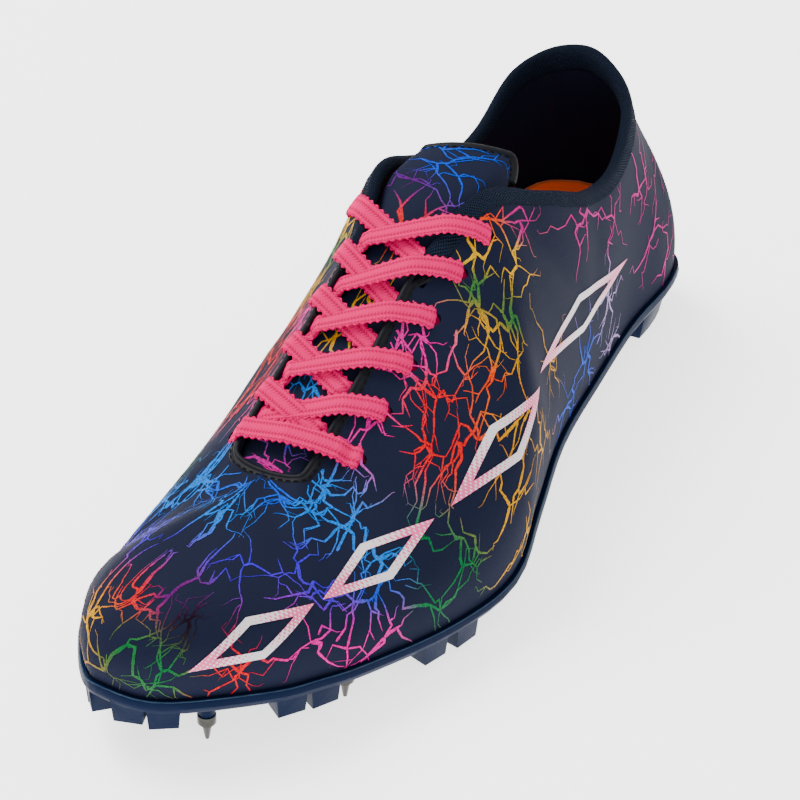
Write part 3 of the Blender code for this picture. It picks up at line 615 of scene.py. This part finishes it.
thread, tree, shader = new_material("black_thread", 0.7, 0.1, (0.002, 0.002, 0.003))
place = add_node(tree, "TexCoord", {})
twist = add_node(tree, "TexWave", {"Scale": 1500, "bands_direction": "DIAGONAL"},
                 {"Vector": place.outputs["Object"]})
bump(tree, shader, twist.outputs["Fac"], 0.6, 0.0002)

piping = swept("throat_edge", *throat_path(0.0002, -0.0006), oval_section(0.0009, 0.0009), 420, 14)
tape = swept("throat_tape", *throat_path(0.0015, -0.0001), oval_section(0.0010, 0.0003), 420, 14)
seam = swept("throat_stitches", *throat_path(0.0019, 0.0002), stitch_section, 900, 8)
for piece, finish in ((piping, black), (tape, black), (seam, thread)):
    piece.data.materials.append(finish)
    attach(piece, "root")


# Printed crackle: thin ink lines on the upper that branch out from scattered knots, in colours
# that change over the shoe. It is drawn afresh from a fixed seed.
INKS = {
    "magenta": (0.40, 0.001, 0.17), "orange": (0.62, 0.035, 0.001), "yellow": (0.66, 0.36, 0.0),
    "green": (0.001, 0.12, 0.030), "gold": (0.52, 0.25, 0.001), "lilac": (0.36, 0.26, 0.50),
    "blue": (0.001, 0.055, 0.46), "pink": (0.60, 0.003, 0.24), "red": (0.56, 0.004, 0.006),
    "cyan": (0.001, 0.14, 0.52), "violet": (0.035, 0.012, 0.46), "black": (0.001, 0.001, 0.002),
    "purple": (0.08, 0.001, 0.12),
}
KNOTS = [
    ("magenta", 7.5, 0.90), ("magenta", 8.6, 0.85), ("magenta", 10.4, 0.65),
    ("magenta", 10.5, 0.32), ("magenta", 9.6, 0.75), ("magenta", 10.9, 0.12),
    ("magenta", 12.0, 0.50), ("orange", 6.9, 0.95), ("yellow", 6.5, 0.90),
    ("yellow", 7.2, 0.78), ("green", 6.3, 0.85), ("green", 6.6, 0.70), ("gold", 6.1, 0.75),
    ("gold", 6.4, 0.62), ("gold", 6.1, 0.50), ("gold", 6.8, 0.25), ("gold", 6.2, 0.12),
    ("gold", 5.8, 0.30), ("lilac", 9.3, 0.38), ("lilac", 9.5, 0.08), ("blue", 8.1, 0.12),
    ("blue", 8.7, 0.22), ("gold", 7.6, 0.42), ("pink", 5.2, 0.95), ("pink", 5.5, 0.88),
    ("pink", 4.6, 0.90), ("red", 5.3, 0.78), ("red", 5.0, 0.72), ("red", 5.3, 0.64),
    ("orange", 5.9, 0.66), ("cyan", 1.4, 0.97), ("cyan", 3.8, 0.92), ("cyan", 3.9, 0.73),
    ("cyan", 3.2, 0.85), ("blue", 2.4, 0.90), ("violet", 1.7, 0.62), ("violet", 2.7, 0.60),
    ("violet", 3.2, 0.45), ("cyan", 4.2, 0.50), ("blue", 4.1, 0.35), ("pink", 2.8, 0.20),
    ("pink", 3.6, 0.12), ("pink", 4.2, 0.10), ("green", 4.7, 0.46), ("green", 5.1, 0.24),
    ("green", 4.7, 0.16), ("red", 0.3, 0.74), ("black", 1.2, 0.42),
    ("green", 0.5, 0.34), ("green", 1.0, 0.16), ("gold", -0.8, 0.32), ("red", 1.7, 0.10),
    ("purple", 0.9, 0.62),
]
KNOTS += [(name, -turn - 0.15, share * 0.94) for name, turn, share in KNOTS if turn > 1.2]
INK_LIFT = 0.00009
INK_BLEND = 0.004
INK_STRIDE = 0.0008

turn_places = np.arange(-LAST_ROW, LAST_ROW, 0.1)
share_places = np.linspace(0, 1, 26)
sheet_points = bare_skin(turn_places[:, None], share_places[None, :])
per_turn = np.linalg.norm(np.roll(sheet_points, -1, 0) - sheet_points, axis=-1) / 0.1
per_share = np.linalg.norm(np.diff(sheet_points, axis=1), axis=-1) * 25
per_share = np.concatenate([per_share, per_share[:, -1:]], axis=1)
top_limits = share_below(turn_places, np.maximum(band_at(turn_places) + 0.001, 0.004))
top_limits = np.where(np.abs(turn_places) < THROAT_TURN, 1.4, top_limits)
chance = random.Random(41)


def upper_stretch(turn, share):
    """Metres to one turn and to the whole share at a place, or nothing off the upper."""
    column = int((turn + LAST_ROW) / 0.1) % len(turn_places)
    if not 0.01 < share < top_limits[column]:
        return None
    row = int(np.clip((1 - abs(share - 1)) * 25, 0, 25))
    return max(per_turn[column, row], 0.004), max(per_share[column, row], 0.004)


def draw_line(lines, stretch, place, heading, length, width, depth=0):
    """A jagged line over a piece and the branches that leave it. Stretch is the piece's own
    measure at a place."""
    line = [(*place, width * 0.5)]
    bend, travelled, until_bend = heading, 0.0, 0
    while travelled < length:
        if until_bend <= 0:
            bend = heading + chance.uniform(-1.05, 1.05)
            until_bend = chance.randint(2, 6)
            if depth < 2 and chance.random() < 0.19 and travelled > 0:
                fork = heading + chance.choice((-1, 1)) * chance.uniform(0.5, 1.3)
                draw_line(lines, stretch, place, fork,
                          (length - travelled) * chance.uniform(0.35, 0.75), width * 0.62, depth + 1)
        until_bend -= 1
        measure = stretch(*place)
        if measure is None:
            break
        place = (place[0] + INK_STRIDE * math.cos(bend) / measure[0],
                 place[1] + INK_STRIDE * math.sin(bend) / measure[1])
        travelled += INK_STRIDE
        wear = chance.uniform(0.75, 1.15) * (1 - 0.8 * travelled / length)
        line.append((*place, width * wear))
    if len(line) > 3:
        lines.append(line)


def draw_knot(lines, stretch, place, arms, longest, broadest):
    """Jagged lines that leave one place on all sides."""
    full = 6.28
    first = chance.uniform(0, full)
    for arm in range(arms):
        heading = first + arm * full / arms + chance.uniform(-0.4, 0.4)
        draw_line(lines, stretch, place, heading, chance.uniform(0.3, 1) * longest,
                  chance.uniform(0.35, 1) * broadest)


ink_lines = []
for name, turn, share in KNOTS:
    draw_knot(ink_lines, upper_stretch, (turn, share), chance.randint(3, 5), 0.027, 0.00120)
    beside = (turn + chance.uniform(-0.35, 0.35), min(share + chance.uniform(-0.09, 0.09), 0.95))
    draw_knot(ink_lines, upper_stretch, beside, chance.randint(1, 3), 0.024, 0.00100)


def ink_ribbons(name, lines, lay, knots, surface):
    """One mesh of flat ink ribbons along lines of places and widths. Each point's colour is
    blended from the knots around it, whose places a surface function gives."""
    every = np.array([place for line in lines for place in line])
    centres, normals = lay(every[:, 0], every[:, 1])
    corners, faces, start = [], [], 0
    for line in lines:
        centre = centres[start:start + len(line)]
        forward = np.gradient(centre, axis=0)
        across = unit(np.cross(normals[start:start + len(line)], forward))
        across = across * every[start:start + len(line), 2:] / 2
        corners.append(np.concatenate([centre - across, centre + across]))
        first = 2 * start
        faces += [(first + i, first + i + 1, first + len(line) + i + 1, first + len(line) + i)
                  for i in range(len(line) - 1)]
        start += len(line)
    mesh = bpy.data.meshes.new(name)
    corners = np.concatenate(corners)
    mesh.from_pydata(corners.tolist(), [], faces)
    apart = corners[:, None] - surface(*np.array([knot[1:] for knot in knots]).T)[None]
    pull = 1 / ((apart ** 2).sum(-1) + INK_BLEND ** 2) ** 2
    shades = pull @ np.array([INKS[knot[0]] for knot in knots]) / pull.sum(1, keepdims=True)
    shades = np.concatenate([shades, np.ones((len(corners), 1))], axis=1)
    tint = mesh.color_attributes.new("ink", "FLOAT_COLOR", "POINT")
    tint.data.foreach_set("color", shades.ravel())
    made = bpy.data.objects.new(name, mesh)
    bpy.context.scene.collection.objects.link(made)
    return made


def lay_on_upper(turns, shares):
    """Places just above the upper. A line that runs over the toe's ridge comes down again."""
    over = shares > 1
    turns, shares = np.where(over, -turns, turns), np.where(over, 2 - shares, shares)
    return skin(turns, shares, INK_LIFT), skin_normal(turns, shares)


ink, tree, shader = new_material("printed_ink", 0.5, 0.03)
tint = add_node(tree, "Attribute", {"attribute_name": "ink"})
speckle = noise(tree, 2200, 2)
thin = add_node(tree, "MapRange", {"From Min": 0.35, "From Max": 0.6, "To Min": 0.55, "To Max": 1.1},
                {"Value": speckle})
toned = add_node(tree, "VectorMath", {"operation": "SCALE"},
                 {"Vector": tint.outputs["Color"], "Scale": thin.outputs["Result"]})
tree.links.new(toned.outputs["Vector"], shader.inputs["Base Color"])
# The ink colour also feeds a faint emission, so the print glows a little: painted light, not a lamp.
tree.links.new(toned.outputs["Vector"], shader.inputs["Emission Color"])
shader.inputs["Emission Strength"].default_value = 0.04
bump(tree, shader, speckle, 0.3, 0.0001)

crackle = ink_ribbons("printed_crackle", ink_lines, lay_on_upper, KNOTS, bare_skin)
crackle.data.materials.append(ink)
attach(crackle, "root")


# Printed diamonds: a row of four slender outlines along the outer side, pink at their points
# and white with pink dots between them. Each is the turn and share of its two points, then
# half its height.
DIAMONDS = [
    (1.25, 0.14, 2.95, 0.40, 0.0055),
    (3.15, 0.42, 4.85, 0.50, 0.0060),
    (5.05, 0.49, 6.95, 0.43, 0.0060),
    (7.15, 0.44, 9.90, 0.42, 0.0055),
]


def triangle_wave(shares):
    """From 1 down to -1 and back, once."""
    return 4 * np.abs((shares % 1) - 0.5) - 1


def waves(tree, parts, sizes):
    """The product of sine waves along the axes, each with the size of its repeat."""
    made = []
    for axis, size in sizes.items():
        turned = add_node(tree, "Math", {"operation": "MULTIPLY", 1: 2 * math.pi / size},
                          {0: parts.outputs[axis]})
        made.append(add_node(tree, "Math", {"operation": "SINE"}, {0: turned.outputs[0]}))
    made = add_node(tree, "Math", {"operation": "MULTIPLY"},
                    {0: made[0].outputs[0], 1: made[1].outputs[0]})
    return made.outputs[0]


DOT_REPEAT = 2 * math.pi / 5200
DIAMOND_LIFT = 0.00016
dotted, tree, shader = new_material("dotted_pink", 0.5)
place = add_node(tree, "TexCoord", {})
parts = add_node(tree, "SeparateXYZ", {}, {"Vector": place.outputs["Object"]})
dots = waves(tree, parts, {"X": DOT_REPEAT, "Z": DOT_REPEAT})
spread = add_node(tree, "UVMap", {})
along = add_node(tree, "SeparateXYZ", {}, {"Vector": spread.outputs["UV"]})
pinker = add_node(tree, "MapRange", {"To Min": 1.1, "To Max": -0.7}, {"Value": along.outputs["X"]})
inside = add_node(tree, "Math", {"operation": "GREATER_THAN"},
                  {0: dots, 1: pinker.outputs["Result"]})
two_tones(tree, shader, inside.outputs[0], (0.62, 0.57, 0.59), (0.70, 0.085, 0.24))
bump(tree, shader, noise(tree, 2600, 3), 0.3, 0.0001)

for number, (turn_a, share_a, turn_b, share_b, height) in enumerate(DIAMONDS, 1):
    points = skin(np.array([turn_a, turn_b]), np.array([share_a, share_b]))
    facing = unit(skin_normal(np.array([turn_a, (turn_a + turn_b) / 2, turn_b]),
                              np.array([share_a, (share_a + share_b) / 2, share_b])).sum(0))
    beside = unit(np.cross(facing, points[1] - points[0]))

    def diamond(u, v):
        """The outline, broad in the middle of its sides and solid at its points."""
        reach = 0.62 + 0.38 * v
        x, y = triangle_wave(u) * reach, triangle_wave(u + 0.25) * reach
        flat = points.mean(0) + np.outer(x, points[1] - points[0]) / 2 + np.outer(y, beside) * height
        laid = []
        for place in flat:
            hit, spot, rise, face = upper.ray_cast(Vector(place + facing * 0.03), Vector(-facing))
            laid.append(np.array(spot + rise * DIAMOND_LIFT) if hit else place)
        return np.array(laid)

    mark = grid(f"printed_diamond_{number}", 320, 8, diamond)
    change_uv(mark, lambda flat: np.stack([np.abs(triangle_wave(flat[:, 0])), flat[:, 1]], 1))
    mark.data.materials.append(dotted)
    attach(mark, "root")


# Highlight line: a thin pale tube where the sole's lip meets the upper, coloured lighter than the
# sole as a painted highlight.
LIP_REACH = 0.0013
LIP_RADIUS = 0.0002
lip_turns = np.linspace(-LAST_ROW, LAST_ROW, 210)
lip_path = bare_skin(lip_turns, 0) + curve(outward, lip_turns * ROW_STEPS) * LIP_REACH
lip = swept("lip_highlight_line", lip_path, np.tile(up, (len(lip_turns), 1)),
            oval_section(LIP_RADIUS, LIP_RADIUS), 1200, 8)
pale, tree, shader = new_material("painted_highlight_blue", 0.7, 0.1)
# Painted highlight: a lighter blue than the sole, mottled at random.
two_tones(tree, shader, noise(tree, 260, 5), (0.001, 0.007, 0.028), (0.035, 0.070, 0.115))
lip.data.materials.append(pale)
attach(lip, "root")


# Tongue: a thin flap of the same coated fabric, sewn down inside the vamp and free at its end,
# where a folded black hem finishes it. Its sides lie under both eyestays.
TONGUE_TUCK = 0.007
TONGUE_END = 0.023
TONGUE_SKEW = 0.0075
TONGUE_CROWN = 0.0022
TONGUE_THICKNESS = 0.0022


def bridge(turns, shares, lift, depth=0.0):
    """Points over the throat, from the outer edge (0) to the inner edge (1), lift above a span
    between points that lie depth inside the two edges."""
    start, end = skin(turns, 1.0, -depth), skin(-turns, 1.0, -depth)
    closed = (start[..., 1] < end[..., 1] + 0.0003)[..., None]
    middle = (start + end) / 2
    start, end = np.where(closed, middle, start), np.where(closed, middle, end)
    rise = unit(skin_normal(turns, 1.0) + skin_normal(-turns, 1.0))
    opening = np.linalg.norm(end - start, axis=-1) / THROAT_GAP
    crown = TONGUE_CROWN * np.clip(2 * opening - 1, 0, 1) * 4 * shares * (1 - shares)
    return start + (end - start) * shares[..., None] + rise * (lift + crown)[..., None]


def tongue_face(turns, across):
    """The tongue's upper face while it lies under the eyestays."""
    deep = 0.0012 + np.interp(turns, [4.9, 5.3], [UPPER_WALL, 0.0036])
    middle = bridge(turns, np.clip((across - 0.2) / 0.6, 0, 1), 0.0, deep)
    side = np.where(across < 0.5, 1, -1)
    tuck = np.clip(0.2 - np.minimum(across, 1 - across), 0, 0.2) / 0.2 * TONGUE_TUCK
    columns, place = np.unique(np.stack([turns * side, tuck], 1).round(6), axis=0,
                               return_inverse=True)
    shares = share_below(columns[:, 0], columns[:, 1])[place.ravel()]
    tucked = skin(turns * side, shares, -deep)
    return np.where((tuck > 0)[:, None], tucked, middle)


def tongue_points(u, v):
    """The whole tongue: under the vamp and the eyestays for the first 0.8 of its length, then
    running on almost level, further on its outer side, to its round-cornered end."""
    points = tongue_face(2.0 + np.clip(u / 0.8, 0, 1) * 5.0, v)
    ends = tongue_face(np.full(v.shape, 7.0), v)
    centre = tongue_face(np.array([7.0]), np.array([0.5]))[0]
    half = np.abs(ends[:, 1] - centre[1]).max()
    on = np.clip((u - 0.8) / 0.2, 0, 1)
    width = 1 - 0.14 * on ** 4
    moved = centre + (ends - centre) * width[:, None]
    corner = np.clip(np.abs(2 * v - 1) - 0.6, 0, 0.4) / 0.4
    back = TONGUE_END + TONGUE_SKEW * (moved[:, 1] - centre[1]) / half
    back *= 1 - 0.24 * corner ** 2
    moved[:, 0] -= on * back
    moved[:, 2] += 0.06 * on * (0.8 - on) * TONGUE_END
    return np.where((on > 0)[:, None], moved, points)


tongue = grid("coated_tongue", 120, 60, tongue_points)
edit(tongue)
bpy.ops.mesh.vertices_smooth(factor=0.5, repeat=8)
bpy.ops.object.mode_set(mode="OBJECT")
close_up(tongue, 0.0001)
apply_modifier(tongue, "SOLIDIFY", thickness=TONGUE_THICKNESS, offset=-1)
apply_modifier(tongue, "BEVEL", width=0.0006, segments=3, angle_limit=math.radians(50))
bpy.ops.object.shade_smooth_by_angle(angle=math.radians(60))
tongue.data.materials.append(coated)
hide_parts("tongue")
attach(tongue, "root")

# Place along and across the tongue of each knot of its print.
TONGUE_KNOTS = [
    ("blue", 0.95, 0.62), ("blue", 0.93, 0.40), ("blue", 0.87, 0.55), ("blue", 0.84, 0.35),
    ("purple", 0.78, 0.62), ("red", 0.68, 0.55), ("yellow", 0.55, 0.45), ("gold", 0.50, 0.60),
    ("cyan", 0.42, 0.50), ("blue", 0.33, 0.45), ("magenta", 0.22, 0.50), ("pink", 0.14, 0.45),
]
TONGUE_INK_LIFT = 0.0001
tongue_lines = []
for name, on, across in TONGUE_KNOTS:
    draw_knot(tongue_lines,
              lambda u, v: (0.10, 0.032) if 0.02 < u < 0.985 and 0.06 < v < 0.94 else None,
              (on, across), chance.randint(4, 5), 0.020, 0.00120)


def lay_on_tongue(along, across):
    """Places just above the tongue."""
    spots, rises = [], []
    for place in tongue_points(along, across):
        found, spot, rise, face = tongue.closest_point_on_mesh(Vector(place + (0, 0, 0.0008)))
        spots.append(spot + rise * TONGUE_INK_LIFT)
        rises.append(rise)
    return np.array(spots), np.array(rises)


tongue_print = ink_ribbons("tongue_crackle", tongue_lines, lay_on_tongue, TONGUE_KNOTS,
                           tongue_points)
tongue_print.data.materials.append(ink)
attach(tongue_print, "root")

edge_across = np.linspace(0.0, 1.0, 60)
edge = tongue_points(np.full(60, 1.0), edge_across)
before = tongue_points(np.full(60, 0.97), edge_across)
rise = np.tile(unit(np.cross(edge[30] - before[30], edge[31] - edge[30])), (60, 1))
rise = rise * np.sign(rise[0, 2])
hem_path = edge - unit(edge - before) * 0.0009 - rise * 0.0011
hem = swept("tongue_hem", hem_path, rise, oval_section(0.0018, 0.0015), 160, 16)
hem_seam = swept("tongue_hem_stitches", hem_path - unit(edge - before) * 0.0020 + rise * 0.0012,
                 rise, stitch_section, 320, 8)
for piece, finish in ((hem, black), (hem_seam, thread)):
    piece.data.materials.append(finish)
    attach(piece, "root")


# Collar: a padded roll of knitted mesh on the top line. It is full behind the heel, slim beside
# the ankle, and runs down both eyestays to a closed end.
COLLAR_THICKNESS = 0.0036
COLLAR_LENGTH = 0.29
COLLAR_GIRTH = 0.020
COLLAR_SECTION = np.array([(0.00, -0.06), (-0.06, 0.30), (-0.02, 0.76), (0.20, 0.97),
                           (0.55, 0.98), (0.88, 0.78), (1.00, 0.46), (0.88, 0.14)])


def collar_points(u, v):
    """The roll, from its front end on the outer side around the heel to the inner side."""
    turns = COLLAR_END + u * 2 * (LAST_ROW - COLLAR_END)
    columns, place = np.unique(turns, return_inverse=True)
    low = share_below(columns, band_at(columns))[place]
    base, tip = skin(turns, low), skin(turns, 1.0)
    inward = -skin_normal(turns, low)
    ends = np.clip(np.minimum(u, 1 - u) * 90, 0, 1) ** 0.5
    depth, height = (curve(COLLAR_SECTION, v * 8) - (0.45, 0.5)).T * ends
    soft = 0.03 * np.sin(u * 61) * np.sin(u * 23 + 1)
    depth, height = depth * (1 + soft) + 0.45, height * (1 + soft) + 0.5
    return base + (tip - base) * height[:, None] + inward * (depth * COLLAR_THICKNESS)[:, None]


collar = grid("knit_collar", 520, 40, collar_points)
change_uv(collar, lambda flat: flat * (COLLAR_LENGTH, COLLAR_GIRTH))
close_up(collar)
knit, tree, shader = new_material("knit_navy", 0.9, 0.08)
spread = add_node(tree, "UVMap", {})
parts = add_node(tree, "SeparateXYZ", {}, {"Vector": spread.outputs["UV"]})
cell = waves(tree, parts, {"X": 0.0010, "Y": 0.0009})
ramp(tree, shader, cell, (0.0, (0.0105, 0.0200, 0.046)), (0.5, (0.0010, 0.0022, 0.006)))
bump(tree, shader, cell, 1.0, 0.0006)
collar.data.materials.append(knit)
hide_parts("collar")
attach(collar, "root")


# Lace: a flat braid of hot pink cord with looped edges. One straight bar joins the first pair
# of eyelets, and each further eyelet sends a run down over the tongue to the far edge, where
# it dives under the eyestay. The ends are hidden inside.
LACE_WIDTH = 0.0063
LACE_THICKNESS = 0.0013
LACE_FALL = 1.45


def lace_section(length, angle):
    """A flat braid: four plaited rows on each face and a loop every 2 mm along both edges."""
    loops = 0.00032 * np.cos(2 * math.pi * length / 0.0020) * np.abs(np.cos(angle)) ** 5
    side = np.sign(np.cos(angle)) * np.abs(np.cos(angle)) ** 0.7 * LACE_WIDTH / 2
    side = side + np.sign(np.cos(angle)) * loops
    rows = 0.00010 * np.abs(np.cos(math.pi * 4 * side / LACE_WIDTH + math.pi / 2))
    height = np.sign(np.sin(angle)) * np.abs(np.sin(angle)) ** 0.6 * (LACE_THICKNESS / 2 - 0.0001)
    return side, height + np.sign(height) * rows * np.abs(np.sin(angle))


def taut(heights):
    """Heights along a lace drawn tight: it bridges every hollow between the high places."""
    held = [0]
    for place in range(1, len(heights)):
        while len(held) > 1:
            a, b = held[-2:]
            if (heights[b] - heights[a]) * (place - a) > (heights[place] - heights[a]) * (b - a):
                break
            held.pop()
        held.append(place)
    return np.interp(np.arange(len(heights)), held, heights[held])


covered = (upper, tongue, collar, piping, tape)


def lace_run(name, start, end, lifts, both_eyelets=False):
    """One run, straight from its eyelet to a place on the far edge or to the far eyelet. It
    rests on what lies under it and bridges the hollows. The lifts are its heights over that at
    its start, middle and end. Start and end are a turn and a distance from the throat's edge."""
    ends, facings = [], []
    for turn, distance in (start, end):
        share = share_below(turn, distance)
        ends.append(skin(np.array([turn]), share)[0])
        facings.append(skin_normal(np.array([turn]), share)[0])
    rise = Vector(unit(facings[0] + facings[1]))
    parts = np.linspace(0, 1, 25)
    chord = ends[0] + (ends[1] - ends[0]) * parts[:, None]
    last_held = 25 if both_eyelets else 22
    heights = []
    for place in chord:
        found = [piece.ray_cast(Vector(place) + rise * 0.06, -rise) for piece in covered]
        tops = [(spot - Vector(place)).dot(rise) for hit, spot, normal, face in found if hit]
        heights.append(max(tops + [-0.01]))
    heights = np.array(heights)
    heights[last_held:] = heights[last_held - 1]
    heights = taut(heights)
    heights[1:-1] = (heights[:-2] + heights[1:-1] + heights[2:]) / 3
    wanted = np.interp(parts, (0, 0.25, 0.5, 0.8, 1), (lifts[0], lifts[0], lifts[1], lifts[2],
                                                      lifts[2]))
    path = chord + np.array(rise) * (heights + 0.00075 + wanted)[:, None]
    ups = facings[0] + (facings[1] - facings[0]) * parts[:, None]
    ups = unit(ups + np.array(rise))
    into = path[3] - path[0]
    first = [ends[0] - facings[0] * 0.003, ends[0] - facings[0] * 0.0004 + into * 0.06]
    if both_eyelets:
        last = [ends[1] - facings[1] * 0.0004, ends[1] - facings[1] * 0.003]
        path = np.concatenate([first, path[2:-2], last])
        ups = np.concatenate([[facings[0]] * 2, ups[2:-2], [facings[1]] * 2])
    else:
        on = unit(chord[24] - chord[18])
        last = [ends[1] - on * 0.0014 - facings[1] * 0.0012, ends[1] - facings[1] * 0.0027,
                ends[1] + on * 0.004 - facings[1] * 0.0042]
        path = np.concatenate([first, path[2:22], last])
        ups = np.concatenate([[facings[0]] * 2, ups[2:22], [ups[21]] * 3])
    return swept(name, path, ups, lace_section, 300, 40)


first_turn = EYELET_TURNS[0]
laces = [lace_run("lace_bar", (first_turn, EYELET_SETBACK), (-first_turn, EYELET_SETBACK),
                  (0.0008, 0.0022, 0.0008), both_eyelets=True)]
for number, (below, turn) in enumerate(zip(EYELET_TURNS, EYELET_TURNS[1:]), 2):
    target = turn + (below - turn) * LACE_FALL
    over, under = (0.0004, 0.0008, 0.0008), (0.0008, 0.0000, 0.0)
    outer, inner = (under, over) if number == 2 else (over, under)
    laces.append(lace_run(f"lace_outer_{number}", (turn, EYELET_SETBACK), (-target, 0.0), outer))
    laces.append(lace_run(f"lace_inner_{number}", (-turn, EYELET_SETBACK), (target, 0.0), inner))
braid, tree, shader = new_material("pink_braid", 0.75, 0.02)
spread = add_node(tree, "UVMap", {})
parts = add_node(tree, "SeparateXYZ", {}, {"Vector": spread.outputs["UV"]})
# The braid's pink is darkened by painted shade of its own relief: dark lines along the grooves
# between the plaited rows, and a darker low side on each slanted plait, lighter on the raised parts.
# The same value raises the bump.
slant = add_node(tree, "Math", {"operation": "PINGPONG", 1: 0.00075}, {0: parts.outputs["Y"]})
mixed = add_node(tree, "Math", {"operation": "ADD"}, {0: parts.outputs["X"], 1: slant.outputs[0]})
turned = add_node(tree, "Math", {"operation": "MULTIPLY", 1: 2 * math.pi / 0.0009},
                  {0: mixed.outputs[0]})
plait_relief_and_shade = add_node(tree, "Math", {"operation": "SINE"}, {0: turned.outputs[0]})
painted_groove_shade = add_node(tree, "MapRange", {"From Max": 0.00075, "To Min": 0.0, "To Max": 1.3},
                  {"Value": slant.outputs[0]})
mixed = add_node(tree, "Math", {"operation": "MULTIPLY_ADD", 1: 0.35},
                 {0: plait_relief_and_shade.outputs[0], 2: painted_groove_shade.outputs["Result"]})
ramp(tree, shader, mixed.outputs[0], (0.0, (0.40, 0.0, 0.055)), (0.8, (0.68, 0.0, 0.115)))
bump(tree, shader, mixed.outputs[0], 0.35, 0.00018)
for lace in laces:
    lace.data.materials.append(braid)
    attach(lace, "root")
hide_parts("lace")
